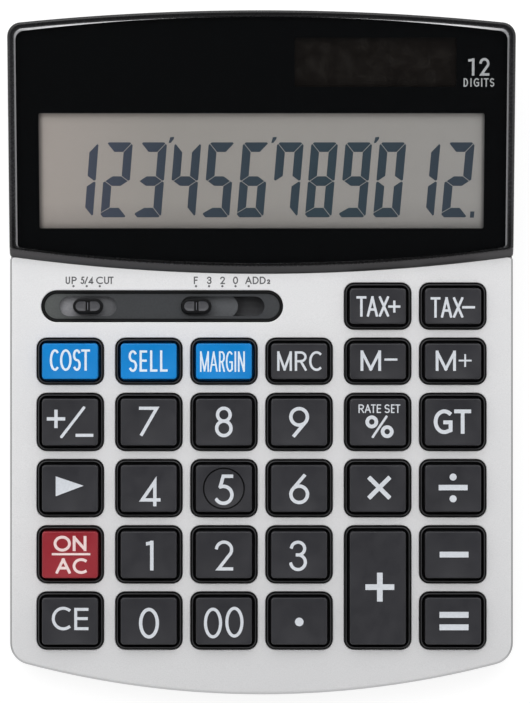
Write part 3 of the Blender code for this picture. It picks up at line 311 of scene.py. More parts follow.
def mixed(low, high, share):
    return low + (high - low) * share


def raised(height, by):
    """A height function moved up by a distance."""
    return lambda y: height(y) + by


def local_box(node, plane=Matrix.Identity(4)):
    """A CAD node's lowest and highest corner in millimetres, in a frame."""
    inverse = plane.inverted()
    points = [inverse @ (vertex.co / MM) for vertex in frame["nodes"][node].data.vertices]
    low = Vector(map(min, zip(*points)))
    high = Vector(map(max, zip(*points)))
    return low, high


# Outlines: each is a list of points that runs counter-clockwise


def arc_corner(x, apex_y, radius, facing, convex, corner):
    """The fillet between the side at +x and a front or back arc: (arc centre y, points from arc to side)."""
    bulge = 1 if convex else -1
    centre_y = apex_y - facing * bulge * radius
    fillet_x = x - corner
    fillet_y = centre_y + facing * bulge * math.sqrt((radius - bulge * corner) ** 2 - fillet_x**2)
    end = math.atan2((fillet_y - centre_y) * bulge, fillet_x * bulge)
    points = []
    for step in range(CORNER_STEPS + 1):
        angle = end * (1 - step / CORNER_STEPS)
        points.append((fillet_x + corner * math.cos(angle), fillet_y + corner * math.sin(angle)))
    return centre_y, points


def arc_points(centre_y, apex_y, tangent, steps):
    """Points on an arc from its apex on the centre line up to, but not including, a tangent point."""
    start = Vector((0, apex_y - centre_y))
    sweep = start.angle_signed(Vector((tangent[0], tangent[1] - centre_y)))
    points = []
    for step in range(steps):
        point = Matrix.Rotation(-sweep * step / steps, 2) @ start
        points.append((point.x, point.y + centre_y))
    return points


def plan_outline(half_width, front, back, back_convex=True):
    """The plan between two arcs, each given as (apex y, radius, corner radius), symmetric about x = 0."""
    front_centre, front_fillet = arc_corner(half_width, front[0], front[1], -1, True, front[2])
    back_centre, back_fillet = arc_corner(half_width, back[0], back[1], 1, back_convex, back[2])
    half = arc_points(front_centre, front[0], front_fillet[0], FRONT_ARC_STEPS)
    half += front_fillet
    half += reversed(back_fillet)
    half += reversed(arc_points(back_centre, back[0], back_fillet[0], BACK_ARC_STEPS))
    return half + [(-x, y) for x, y in reversed(half[1:-1])]


def front_edge(inset):
    return FRONT_Y + inset, FRONT_RADIUS - inset, max(FRONT_CORNER - inset, SEAM_CORNER)


def back_edge(inset):
    return BACK_Y - inset, BACK_RADIUS - inset, max(BACK_CORNER - inset, SEAM_CORNER)


def case_outline(inset):
    return plan_outline(HALF_WIDTH - inset, front_edge(inset), back_edge(inset))


def keyboard_outline(inset, back_inset=None):
    """The part in front of the head's seam, whose back edge curves in."""
    back = inset if back_inset is None else back_inset
    seam = (SEAM_Y - back, SEAM_RADIUS + back, SEAM_CORNER)
    return plan_outline(HALF_WIDTH - inset, front_edge(inset), seam, back_convex=False)


def head_outline(inset, front_inset):
    """The part behind the seam, whose front edge moves in by its own amount."""
    seam = (SEAM_Y + front_inset, SEAM_RADIUS - front_inset, SEAM_CORNER)
    return plan_outline(HALF_WIDTH - inset, seam, back_edge(inset))


def window_outline(inset=0.0):
    """The opening in the head for the window."""
    sunk = CHIN_LEAN + RIM_FRONT + inset
    seam = (SEAM_Y + sunk, SEAM_RADIUS - sunk, WINDOW_FRONT_CORNER)
    rear = (BACK_Y - RIM_BACK - inset, BACK_RADIUS - RIM_BACK - inset, WINDOW_CORNER)
    return plan_outline(HALF_WIDTH - RIM_SIDE - inset, seam, rear)


def bevel_outline():
    """The inner edge of the window's bevel: widest at the sides, running out at the middle of each arc."""
    sunk = CHIN_LEAN + RIM_FRONT + WINDOW_GAP + BEVEL_FRONT
    seam = (SEAM_Y + sunk, SEAM_RADIUS * BEVEL_FRONT_RADIUS_SHARE, WINDOW_FRONT_CORNER)
    edge = RIM_BACK + WINDOW_GAP + BEVEL_BACK
    rear = (BACK_Y - edge, BACK_RADIUS * BEVEL_BACK_RADIUS_SHARE, WINDOW_CORNER)
    return plan_outline(HALF_WIDTH - RIM_SIDE - WINDOW_GAP - BEVEL_SIDE, seam, rear)


def rounded_rectangle(width, height, corner, centre=(0, 0), corner_steps=6, side_steps=1):
    """A rectangle with round corners, and its straight sides cut into equal steps."""
    points = []
    for quarter, (side_x, side_y) in enumerate(((1, 1), (-1, 1), (-1, -1), (1, -1))):
        corner_x = centre[0] + side_x * (width / 2 - corner)
        corner_y = centre[1] + side_y * (height / 2 - corner)
        for step in range(corner_steps + 1):
            angle = math.radians(90) * (quarter + step / corner_steps)
            points.append(Vector((corner_x + corner * math.cos(angle), corner_y + corner * math.sin(angle))))
    split = []
    for i, point in enumerate(points):
        after = points[(i + 1) % len(points)]
        if (after - point).length < SAME_PLACE:
            continue
        split.append(point)
        if i % (corner_steps + 1) == corner_steps:
            split += [point.lerp(after, step / side_steps) for step in range(1, side_steps)]
    return split


def stadium(length, height, centre=(0, 0)):
    return rounded_rectangle(length, height, height / 2, centre, corner_steps=12)


def stadium_up(width, height):
    """A stadium that stands upright on the origin."""
    return rounded_rectangle(width, height, width / 2, corner_steps=4)


def circle(radius, centre):
    x, y = centre
    turns = [math.tau / ROUND_SIDES * i for i in range(ROUND_SIDES)]
    return [(x + radius * math.cos(turn), y + radius * math.sin(turn)) for turn in turns]


def at(points, height):
    """A plan outline as a ring in space, at a height that is a number or a function of y."""
    if callable(height):
        return [Vector((x, y, height(y))) for x, y in points]
    return [Vector((x, y, height)) for x, y in points]


def on(plane, points, n):
    """An outline in a sloping frame as a ring in space."""
    return [plane @ Vector((x, y, n)) for x, y in points]


def in_plane(plane, points, n):
    """A plan outline, as seen in a sloping frame at a depth under its face."""
    tilt = math.atan(slope(plane))
    return [(x, (y + n * math.sin(tilt)) / math.cos(tilt)) for x, y in points]


def rounding(radius, steps=ROUND_STEPS):
    """How far in and down each step of a rounded edge lies, from the wall to the face."""
    angles = [math.radians(90) * step / steps for step in range(steps + 1)]
    return [(radius * (1 - math.cos(angle)), radius * (1 - math.sin(angle))) for angle in angles]


def arc(cx, cy, rx, ry, start, end, steps=0):
    """Points on an arc of an ellipse between two angles in degrees."""
    steps = steps or max(2, round(abs(end - start) / ARC_STEP))
    angles = [math.radians(start + (end - start) * step / steps) for step in range(steps + 1)]
    return [(cx + rx * math.cos(angle), cy + ry * math.sin(angle)) for angle in angles]


# Meshes


class Skin:
    """A mesh in the making, in millimetres. New faces take the current paint, a material's number."""

    def __init__(self):
        self.mesh = bmesh.new()
        self.paint = 0

    def face(self, corners):
        self.mesh.faces.new(corners).material_index = self.paint

    def wall(self, first, second):
        for i in range(len(first)):
            after = (i + 1) % len(first)
            self.face((first[i], first[after], second[after], second[i]))

    def tube(self, rings, start=None):
        """Joins rings of equal length, from an existing loop where one is given. Returns the end loops."""
        loops = [[self.mesh.verts.new(point) for point in ring] for ring in rings]
        if start:
            loops.insert(0, start)
        for first, second in zip(loops, loops[1:]):
            self.wall(first, second)
        return loops[0], loops[-1]

    def solid(self, rings):
        """A tube closed at both ends."""
        for end in self.tube(rings):
            self.face(end)

    def pit(self, rings):
        """A tube closed at its far end. Returns the loop at its mouth."""
        mouth, floor = self.tube(rings)
        self.face(floor)
        return mouth

    def fill(self, loops, normal):
        """Closes a flat region between an outer loop and the loops of its holes."""
        edges = []
        for loop in loops:
            for i, vertex in enumerate(loop):
                pair = (loop[i - 1], vertex)
                edges.append(self.mesh.edges.get(pair) or self.mesh.edges.new(pair))
        made = bmesh.ops.triangle_fill(self.mesh, use_beauty=True, edges=edges, normal=normal)
        for item in made["geom"]:
            if isinstance(item, bmesh.types.BMFace):
                item.material_index = self.paint

    def plate(self, walls, normal):
        """Closes a plate's two faces. Each wall, outer or of a hole, is given by its low and high loop."""
        lows, highs = zip(*walls)
        self.fill(highs, normal)
        self.fill(lows, normal)


def make_piece(name, skin, materials, stands_for=None, slot=None, body="case", sharp=35):
    """A skin as a piece that rides on a body. Edges are sharp above an angle in degrees."""
    mesh = skin.mesh
    bmesh.ops.recalc_face_normals(mesh, faces=mesh.faces)
    data = bpy.data.meshes.new(name)
    mesh.to_mesh(data)
    mesh.free()
    data.transform(Matrix.Scale(MM, 4))
    for material in materials:
        data.materials.append(material)
    data.shade_smooth()
    data.set_sharp_from_angle(angle=math.radians(sharp))
    piece = bpy.data.objects.new(name, data)
    bpy.context.scene.collection.objects.link(piece)
    weighted = piece.modifiers.new("weighted_normals", "WEIGHTED_NORMAL")
    weighted.keep_sharp = True
    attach(piece, body)
    if stands_for:
        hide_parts(stands_for)
    return piece


# Shader nodes


def linear(*levels):
    """A colour from its levels as seen on a screen, 0 to 255."""
    shares = [level / 255 for level in levels]
    return tuple(share / 12.92 if share < 0.04045 else ((share + 0.055) / 1.055) ** 2.4 for share in shares)


def grey(share):
    return share, share, share


def scaled(color, by):
    return tuple(min(level * by, 1) for level in color)


def node(tree, kind, inputs, **settings):
    """A new shader node. Each input is a value or the socket that feeds it."""
    item = tree.nodes.new("ShaderNode" + kind)
    for key, value in settings.items():
        setattr(item, key, value)
    for key, value in inputs.items():
        if isinstance(value, bpy.types.NodeSocket):
            tree.links.new(value, item.inputs[key])
        else:
            item.inputs[key].default_value = value
    return item


def socket(tree, kind, inputs, output=0, **settings):
    """The first output of a new node, or the one that is named."""
    return node(tree, kind, inputs, **settings).outputs[output]


def new_tree(name):
    material = bpy.data.materials.new(name)
    material.use_nodes = True
    material.node_tree.nodes.clear()
    return material, material.node_tree


def object_place(tree, stretch=(1, 1, 1)):
    return socket(tree, "Mapping", {"Vector": socket(tree, "TexCoord", {}, "Object"), "Scale": stretch})


def noise(tree, scale, detail, stretch=(1, 1, 1)):
    """Noise on the piece itself: patches per metre, and octaves of detail."""
    place = object_place(tree, stretch)
    return socket(tree, "TexNoise", {"Vector": place, "Scale": scale, "Detail": detail}, "Fac")


def spread(tree, value, low, high, inner=(0.3, 0.7)):
    """A number stretched from its inner range to another one, and held at both ends."""
    inputs = {"Value": value, "From Min": inner[0], "From Max": inner[1], "To Min": low, "To Max": high}
    return socket(tree, "MapRange", inputs)


def ramp(tree, value, stops):
    """A number turned into colours: stops are (place, colour)."""
    item = node(tree, "ValToRGB", {"Fac": value})
    elements = item.color_ramp.elements
    while len(elements) < len(stops):
        elements.new(0.5)
    for element, (place, color) in zip(elements, stops):
        element.position = place
        element.color = (*color, 1)
    return item.outputs["Color"]


def mottled(tree, value, low, high):
    """Noise between two colours."""
    return ramp(tree, value, ((0.3, low), (0.7, high)))


def times(tree, first, second):
    return socket(tree, "MixRGB", {"Fac": 1.0, "Color1": first, "Color2": second}, blend_type="MULTIPLY")


def over(tree, axis, first_mm, last_mm, low=0.0, high=1.0):
    """A number that goes from low to high between two places on one of the object's axes."""
    place = socket(tree, "SeparateXYZ", {"Vector": object_place(tree)}, axis)
    return spread(tree, place, low, high, (first_mm * MM, last_mm * MM))


def laid_along(tree, axis, stops):
    """Colours along one of the object's axes: stops are (place in millimetres, colour)."""
    first, last = stops[0][0], stops[-1][0]
    places = [((at_mm - first) / (last - first), color) for at_mm, color in stops]
    return ramp(tree, over(tree, axis, first, last), places)


def bump(tree, height, depth_mm):
    return socket(tree, "Bump", {"Height": height, "Distance": depth_mm * MM, "Strength": 1.0})


def finish_tree(tree, shader):
    node(tree, "OutputMaterial", {"Surface": shader})


def surface(tree, color, roughness, height=None, depth_mm=0.0, gloss=0.5, metallic=0.0):
    """Ends a tree in the shader of a solid surface, with a bump where there is a height."""
    inputs = {"Base Color": color, "Roughness": roughness, "Specular IOR Level": gloss, "Metallic": metallic}
    if height is not None:
        inputs["Normal"] = bump(tree, height, depth_mm)
    finish_tree(tree, socket(tree, "BsdfPrincipled", inputs))


# Materials: each function makes one kind of finish


# Patches per metre of the noise in each finish
BLOTCHES = 60
UNEVEN_GLOSS = 260
PORES_AT_ONE_MM = 900
INK_MOTTLE = 1400
FLAKE = 3600
HAZE = 35
FINE_GRAIN = 1500
DRAWN_LINES = 700
SMEAR = 45
REFLECTOR_GRAIN = 2600
CELL_MOTTLE = 300
PAPER = 3


def moulded(name, levels, roughness, grain_mm=0.35, depth_mm=0.004, vary=0.12, gloss=0.5):
    """Moulded plastic or rubber: faint blotches, uneven gloss and the tool's spark-eroded grain."""
    material, tree = new_tree(name)
    color = linear(*levels)
    tones = mottled(tree, noise(tree, BLOTCHES, 4), scaled(color, 1 - vary), scaled(color, 1 + vary))
    shine = spread(tree, noise(tree, UNEVEN_GLOSS, 4), roughness - 0.05, roughness + 0.06)
    surface(tree, tones, shine, noise(tree, PORES_AT_ONE_MM / grain_mm, 3), depth_mm, gloss)
    return material


def printed(name, levels, vary=0.05, gloss=0.5):
    """Screen-printed ink: even, slightly mottled, satin."""
    material, tree = new_tree(name)
    color = linear(*levels)
    mottle = noise(tree, INK_MOTTLE, 3)
    tones = mottled(tree, mottle, scaled(color, 1 - vary), scaled(color, 1 + vary))
    surface(tree, tones, spread(tree, mottle, 0.42, 0.55), mottle, 0.002, gloss)
    return material


def silver_paint(name, tone, painted_shade_stops):
    """Light silver lacquer with fine aluminium flake, darkened along y by painted shade: stops are (y in
    millimetres, share of tone left).
    """
    material, tree = new_tree(name)
    flake = noise(tree, FLAKE, 2)
    levels = [linear(tone + step, tone + step, tone + step + 1) for step in (-8, 0, 7)]
    hazed = socket(tree, "MixRGB", {
        "Fac": spread(tree, noise(tree, HAZE, 3), 0.0, 0.35),
        "Color1": ramp(tree, flake, ((0.25, levels[0]), (0.5, levels[1]), (0.75, levels[2]))),
        "Color2": (*linear(tone - 6, tone - 6, tone - 4), 1),
    })
    # Painted shade along y
    painted_shade_share = laid_along(tree, "Y", [(y_mm, grey(left)) for y_mm, left in painted_shade_stops])
    surface(tree, times(tree, hazed, painted_shade_share), spread(tree, flake, 0.38, 0.54), flake, 0.003, metallic=0.2)
    return material


def swept(name, stops, axis="X", roughness=0.45, fleck=0.82, gloss=0.35, depth_mm=0.012):
    """Textured plastic or ink whose tone changes along an axis: stops are (place in millimetres, levels)."""
    material, tree = new_tree(name)
    grain = noise(tree, FINE_GRAIN, 4)
    sweep = laid_along(tree, axis, [(at_mm, linear(*levels)) for at_mm, levels in stops])
    tones = times(tree, sweep, mottled(tree, grain, grey(fleck), grey(1)))
    surface(tree, tones, spread(tree, grain, roughness - 0.02, roughness + 0.04), grain, depth_mm, gloss)
    return material


def brushed(name, color, roughness):
    """Plated or bare metal with fine drawn lines."""
    material, tree = new_tree(name)
    lines = noise(tree, DRAWN_LINES, 4, (1, 14, 14))
    tones = mottled(tree, lines, scaled(color, 0.8), color)
    surface(tree, tones, spread(tree, lines, roughness - 0.07, roughness + 0.1), lines, 0.003, metallic=1.0)
    return material


def clear_acrylic(name, least, most):
    """Clear sheet that mirrors from a least share, seen straight on, to a most, seen along its surface."""
    material, tree = new_tree(name)
    smear = spread(tree, noise(tree, SMEAR, 4), 0.012, 0.022)
    gloss = socket(tree, "BsdfGlossy", {"Color": (1, 1, 1, 1), "Roughness": smear})
    clear = socket(tree, "BsdfTransparent", {"Color": (0.98, 0.98, 0.98, 1)})
    facing = socket(tree, "LayerWeight", {"Blend": 0.5}, "Facing")
    grazing = socket(tree, "Math", {0: facing, 1: 5.0}, operation="POWER")
    share = spread(tree, grazing, least, most, (0, 1))
    finish_tree(tree, socket(tree, "MixShader", {0: share, 1: clear, 2: gloss}))
    return material


def lcd_face():
    """The panel's grey polariser: warmer at the left, finely grained, with a painted shadow along its edges.
    """
    material, tree = new_tree("lcd_glass")
    left, low, right, _ = LCD_OPENING
    low *= math.cos(math.atan(slope(HEAD)))
    # Painted shadow along the left, right and low edges
    left_shade = over(tree, "X", left, left + 1.4, 0.4, 1.0)
    right_shade = over(tree, "X", right - 0.9, right - 0.1, 1.0, 0.45)
    rise = [(low + 8 * share, grey(lit)) for share, lit in ((0, 0.48), (0.12, 0.7), (0.35, 0.85), (1, 1))]
    shade = times(tree, times(tree, left_shade, right_shade), laid_along(tree, "Y", rise))
    sweep = ((-66, linear(172, 164, 158)), (-26.4, linear(158, 154, 149)), (66, linear(157, 155, 152)))
    grain = noise(tree, REFLECTOR_GRAIN, 2)
    tones = times(tree, laid_along(tree, "X", sweep), mottled(tree, grain, grey(0.94), grey(1)))
    painted_edge_shadow = socket(tree, "MixRGB", {"Fac": shade, "Color1": (*linear(30, 30, 34), 1), "Color2": tones})
    surface(tree, painted_edge_shadow, spread(tree, grain, 0.45, 0.6), gloss=0.3)
    return material


def solar_face():
    """Amorphous cells behind glass: brown-black with faint stripes between the cells."""
    material, tree = new_tree("solar_glass")
    wave = {"Vector": object_place(tree), "Scale": 26.0, "Distortion": 0.0, "Detail": 0.0}
    stripes = socket(tree, "TexWave", wave, "Fac", wave_type="BANDS", bands_direction="X", wave_profile="SAW")
    mottle = noise(tree, CELL_MOTTLE, 4)
    cells = mottled(tree, mottle, linear(19, 16, 14), linear(25, 22, 19))
    tones = times(tree, cells, ramp(tree, stripes, ((0.0, grey(0.55)), (0.03, grey(1)))))
    surface(tree, tones, spread(tree, mottle, 0.12, 0.25))
    return material


def board_face():
    """Black solder resist over faint copper tracks."""
    material, tree = new_tree("board_laminate")
    levels = {"Color1": (61, 61, 65), "Color2": (63, 63, 67), "Mortar": (67, 68, 71)}
    inputs = {name: (*linear(*shown), 1) for name, shown in levels.items()}
    inputs.update({"Vector": object_place(tree), "Scale": 160.0, "Mortar Size": 0.05})
    tracks = socket(tree, "TexBrick", inputs)
    weave = noise(tree, FINE_GRAIN, 3, (1, 4, 1))
    surface(tree, tracks, spread(tree, weave, 0.3, 0.45), weave, 0.01)
    return material


CHIN_FOOT = deck_z(SEAM_Y)
CHIN_TOP = head_z(SEAM_Y)
# The deck's silver darkens towards the front edge: painted shade
silver = silver_paint("silver_paint", 226, ((-97, 0.9), (-60, 0.96), (40, 1.0)))
# A darker copy of the silver for the sides and the outer steps of the edge: painted shade, kept lighter along
# the front
silver_painted_shade = silver_paint("silver_paint_painted_shade", 208, ((-97, 0.98), (-88, 0.9), (-84, 0.54), (40, 0.54)))
acrylic = clear_acrylic("window_acrylic", 0.035, 1.0)
acrylic_back = clear_acrylic("window_back", 0.002, 0.1)
case_black = moulded("case_plastic", (46, 46, 48), 0.5, grain_mm=0.5, depth_mm=0.012)
# Black plastic with painted shade: darkest along the front rim and darker towards the back
head_black_painted_shade = swept("black_plastic", (
    (28, (7, 7, 8)), (36, (9, 9, 10)), (44, (31, 31, 33)),
    (84, (31, 31, 33)), (91, (20, 20, 22)), (97, (14, 14, 15)),
), "Y", roughness=0.26, fleck=0.97, gloss=0.45, depth_mm=0.0004)
# Dark grey for the chin and outer walls, with painted shade that darkens it towards the foot
chin_painted_shade = swept("chin_plastic", (
    (CHIN_FOOT, (16, 16, 17)), (mixed(CHIN_FOOT, CHIN_TOP, 0.35), (48, 48, 49)), (CHIN_TOP, (72, 70, 72)),
), "Z", roughness=0.36, fleck=0.95, depth_mm=0.003)
rim_black = moulded("rim_plastic", (11, 11, 12), 0.42, depth_mm=0.003, vary=0.06, gloss=0.2)
# A lighter band on the rim's crest: a painted highlight
rim_painted_highlight = moulded("rim_crest_painted_highlight", (48, 48, 50), 0.34, depth_mm=0.003)
print_black = printed("window_print", (5, 6, 7), 0.1, gloss=0.03)
# The window's bevel and edge: a painted highlight, brightest along the back
lens_edge_painted_highlight = swept("lens_edge_painted_highlight", (
    (80, (142, 142, 144)), (91.6, (142, 142, 144)), (93, (232, 232, 234)),
    (95, (232, 232, 234)), (95.7, (96, 96, 98)),
), "Y", roughness=0.12, fleck=0.92, gloss=0.5, depth_mm=0.001)
# Panel floor, lighter at its left end: painted light
panel_painted_light = swept("panel_plastic", (
    (-61, (82, 85, 84)), (-50, (53, 55, 57)), (0, (53, 55, 58)), (6, (60, 62, 64)),
))
knob_black = moulded("knob_plastic", (8, 8, 10), 0.4, gloss=0.15)
knob_pad = moulded("knob_pad", (66, 66, 70), 0.45, grain_mm=0.5, depth_mm=0.01, vary=0.15)
# A light line on the rib's crest: a painted highlight
knob_crest_painted_highlight = moulded("knob_crest_painted_highlight", (96, 96, 102), 0.35)
# Slider plates: lighter at the left end and darker to the right of the knob, which is painted light and shade
slider_painted_light = swept("slider_plastic", (
    (-56, (154, 154, 158)), (-47, (106, 107, 110)), (-18, (84, 86, 89)), (0, (84, 86, 89)),
))
key_dark = moulded("key_plastic", (43, 43, 47), 0.36, 0.3, 0.007, gloss=0.4)
key_blue = moulded("key_blue_plastic", (3, 126, 200), 0.36, 0.3, 0.006, vary=0.07, gloss=0.3)
key_red = moulded("key_red_plastic", (142, 28, 40), 0.36, 0.3, 0.006, vary=0.07)
membrane_grey = moulded("membrane_rubber", (62, 62, 64), 0.7, grain_mm=0.6, depth_mm=0.01)
foot_black = moulded("foot_rubber", (34, 34, 35), 0.75, grain_mm=0.25, depth_mm=0.03, vary=0.15)
steel = brushed("steel", (0.56, 0.56, 0.57), 0.3)
ink_light = printed("legend_ink", (206, 210, 216))
ink_red_key = printed("legend_ink_on_red", (232, 208, 206))
ink_blue_key = printed("legend_ink_on_blue", (218, 230, 240))
ink_label = printed("label_ink", (82, 82, 84), 0.1)
ink_window = printed("window_ink", (176, 178, 180))
crystal = swept("crystal_segment", (
    (-56, (66, 72, 88)), (-20, (48, 60, 72)), (20, (42, 60, 70)), (56, (48, 60, 72)),
), roughness=0.5, fleck=0.93, depth_mm=0.002)

KEPT_NODES = {
    "lcd_panel": lcd_face(),
    "solar_panel": solar_face(),
    "display_holder": moulded("holder_plastic", (60, 60, 62), 0.5),
    "lcd_ribbon": moulded("ribbon_film", (178, 118, 46), 0.3, grain_mm=1.0),
    "main_board": board_face(),
    "driver_chip": moulded("chip_resin", (16, 16, 17), 0.22, grain_mm=1.5, depth_mm=0.05),
    "button_cell": steel,
    "contact_negative": steel,
    "contact_positive": steel,
}
for kept, finish in KEPT_NODES.items():
    slots = frame["nodes"][kept].data.materials
    slots.clear()
    slots.append(finish)


# Keyboard cover and key frame


KEYS = sorted(name for name in frame["nodes"] if name.startswith("key_") and name in frame["bodies"])
UP = Vector((0, 0, 1))
DECK_NORMAL = DECK.to_3x3() @ UP
HEAD_NORMAL = HEAD.to_3x3() @ UP


def opening(name, grow):
    """The place that a node takes up in the deck, grown on each side: centre (x, v), width and height."""
    low, high = local_box(name, DECK)
    size = high - low
    return ((low + high) / 2).xy, size.x + 2 * grow, size.y + 2 * grow


PLACES = {name: opening(name, OPENING_MARGIN) for name in KEYS}
PANEL_CENTRE, PANEL_LENGTH, PANEL_HEIGHT = opening("switch_panel", -PANEL_FLANGE)


def opening_outline(place, inset):
    centre, width, height = place
    return rounded_rectangle(width - 2 * inset, height - 2 * inset, OPENING_CORNER - inset, centre)


def panel_outline(inset):
    return stadium(PANEL_LENGTH - 2 * inset, PANEL_HEIGHT - 2 * inset, PANEL_CENTRE)


def make_keyboard_cover():
    """The silver shell: an outer side in painted shade, a rounded edge, and a soft lip round every opening.
    """
    skin = Skin()
    seam = SEAM_GAP / 2
    foot = raised(parting_z, FIT)
    side = [
        at(keyboard_outline(WALL), raised(deck_z, -DECK_THICKNESS)),
        at(keyboard_outline(WALL), foot),
        at(keyboard_outline(EDGE_BREAK, seam), foot),
        at(keyboard_outline(0, seam), raised(parting_z, FIT + EDGE_BREAK)),
    ]
    edge = []
    for inset, drop in rounding(DECK_EDGE_ROUND, 7):
        edge.append(at(keyboard_outline(inset, seam), raised(deck_z, -drop)))
    # The side and the outer steps of the edge take the darker silver: painted shade
    skin.paint = 1
    under, end = skin.tube(side + edge[:SHADED_EDGE_STEPS])
    skin.paint = 0
    _, top = skin.tube(edge[SHADED_EDGE_STEPS:], end)
    walls = [(under, top)]
    outlines = [partial(opening_outline, place) for place in PLACES.values()]
    outlines.append(lambda inset: panel_outline(inset - PANEL_REACH))
    for outline in outlines:
        rings = [on(DECK, outline(0), -DECK_THICKNESS)]
        rings += [on(DECK, outline(-inset), -drop) for inset, drop in rounding(OPENING_LIP)]
        walls.append(skin.tube(rings))
    skin.plate(walls, DECK_NORMAL)
    make_piece("keyboard_cover_shell", skin, [silver, silver_painted_shade], "keyboard_cover", "silver_paint")


def switch_bay():
    """The gap in the key frame over the switch sliders."""
    plates = [local_box(name, DECK) for name in ("rounding_switch", "decimal_switch")]
    reach = PANEL_LENGTH / 2 + PANEL_FLANGE + 2 * FIT
    left = min(low.x for low, _ in plates) - SWITCH_PITCH - 2 * FIT
    right = plates[1][1].x + DECIMAL_STEPS * SWITCH_PITCH + 2 * FIT
    left = min(left, PANEL_CENTRE[0] - reach)
    right = max(right, PANEL_CENTRE[0] + reach)
    height = PANEL_HEIGHT + 2 * PANEL_FLANGE + 4 * FIT
    return rounded_rectangle(right - left, height, BAY_CORNER, ((left + right) / 2, PANEL_CENTRE[1]))


def rim_rings(place, profile):
    return [on(DECK, opening_outline(place, inset), n) for inset, n in profile]


def make_key_frame():
    """The black plate under the cover, with a rounded rim standing up round each key, and a painted highlight
    on each rim's crest.
    """
    skin = Skin()
    outline = keyboard_outline(WALL + FIT)
    levels = (FRAME_BOTTOM, FRAME_TOP)
    walls = [
        skin.tube([on(DECK, in_plane(DECK, outline, n), n) for n in levels]),
        skin.tube([on(DECK, switch_bay(), n) for n in levels]),
    ]
    for place in PLACES.values():
        foot, end = skin.tube(rim_rings(place, RIM_WALL))
        # The crest takes the painted highlight
        skin.paint = 1
        _, end = skin.tube(rim_rings(place, RIM_CREST), end)
        skin.paint = 0
        _, well = skin.tube(rim_rings(place, RIM_SLOPE), end)
        walls.append((well, foot))
    skin.plate(walls, DECK_NORMAL)
    make_piece("key_frame_rims", skin, [rim_black, rim_painted_highlight], "key_frame", "black_plastic", sharp=50)


# Keys


def dish(half, x, y):
    """The height of a key's hollow top."""
    return KEY_RISE - KEY_DISH * (1 - (x / half[0]) ** 2) * (1 - (y / half[1]) ** 2)


def hollow(x, y):
    """The height of the round finger hollow in the middle key."""
    share = math.hypot(x, y) / LOCATOR_RADIUS
    return LOCATOR_RIM - LOCATOR_DEPTH * (1 - share**2)


def key_half(place):
    return place[1] / 2 - EDGE_INSET, place[2] / 2 - EDGE_INSET


def top_height(name, x, y):
    """The height of a key's top at a place from its centre."""
    if name == LOCATOR_KEY and math.hypot(x, y) < LOCATOR_RADIUS - LOCATOR_GROOVE_WIDTH:
        return hollow(x, y)
    return dish(key_half(PLACES[name]), x, y)


def round_ring(edge, radius):
    """The points of a key's edge pulled onto a circle."""
    return [point.normalized() * radius for point in edge]


def make_locator(skin, ring, dished, edge, last):
    """The middle key's dish, round groove painted black as painted shade, and finger hollow, inside its edge.
    Returns the last loop.
    """
    circle_edge = round_ring(edge, LOCATOR_RADIUS)
    rings = []
    for share in LOCATOR_STEPS:
        rings.append(ring([a.lerp(b, share) for a, b in zip(edge, circle_edge)], dished))
    _, last = skin.tube(rings, last)
    groove = []
    for share, deep in GROOVE_STEPS:
        points = round_ring(edge, LOCATOR_RADIUS - LOCATOR_GROOVE_WIDTH * share)
        groove.append(ring(points, lambda x, y, deep=deep: hollow(x, y) - LOCATOR_GROOVE * deep))
    # The groove takes the black: painted shade
    skin.paint = 1
    _, last = skin.tube(groove, last)
    skin.paint = 0
    inner = round_ring(edge, LOCATOR_RADIUS - LOCATOR_GROOVE_WIDTH)
    return skin.tube([ring([point * share for point in inner], hollow) for share in DISH_RINGS], last)[1]


def make_key(name, material, slot):
    """A key cap, hollow below, with its stop flange, drafted sides, rounded edge and dished top."""
    centre, width, height = PLACES[name]
    side_steps = 16 if name == LOCATOR_KEY else 8
    half = key_half(PLACES[name])

    def outline(inset, corner):
        size = (width - 2 * inset, height - 2 * inset)
        return rounded_rectangle(*size, corner, (0, 0), KEY_CORNER_STEPS, side_steps)

    def ring(points, rise):
        heights = [rise(x, y) if callable(rise) else rise for x, y in points]
        return [DECK @ Vector((centre[0] + x, centre[1] + y, n)) for (x, y), n in zip(points, heights)]

    rings = [
        ring(outline(HOLLOW_INSET, HOLLOW_CORNER), KEY_CEILING),
        ring(outline(HOLLOW_INSET, HOLLOW_CORNER), KEY_BOTTOM),
        ring(outline(OPENING_MARGIN, FLANGE_CORNER), KEY_BOTTOM),
        ring(outline(OPENING_MARGIN, FLANGE_CORNER), FLANGE_TOP),
        ring(outline(BODY_INSET, BODY_CORNER), FLANGE_TOP),
    ]
    for inset, drop in rounding(KEY_EDGE_ROUND, 6):
        rings.append(ring(outline(TOP_INSET + inset, TOP_CORNER - inset), KEY_RISE - drop))
    edge = outline(EDGE_INSET, TOP_CORNER - KEY_EDGE_ROUND)
    dished = partial(dish, half)
    skin = Skin()
    first, last = skin.tube(rings)
    if name == LOCATOR_KEY:
        last = make_locator(skin, ring, dished, edge, last)
    else:
        _, last = skin.tube([ring([point * share for point in edge], dished) for share in DISH_RINGS], last)
    skin.face(first)
    skin.face(last)
    make_piece(f"{name}_cap", skin, [material, rim_black], name, slot, name)


# Legends: glyphs are strokes in shares of their box


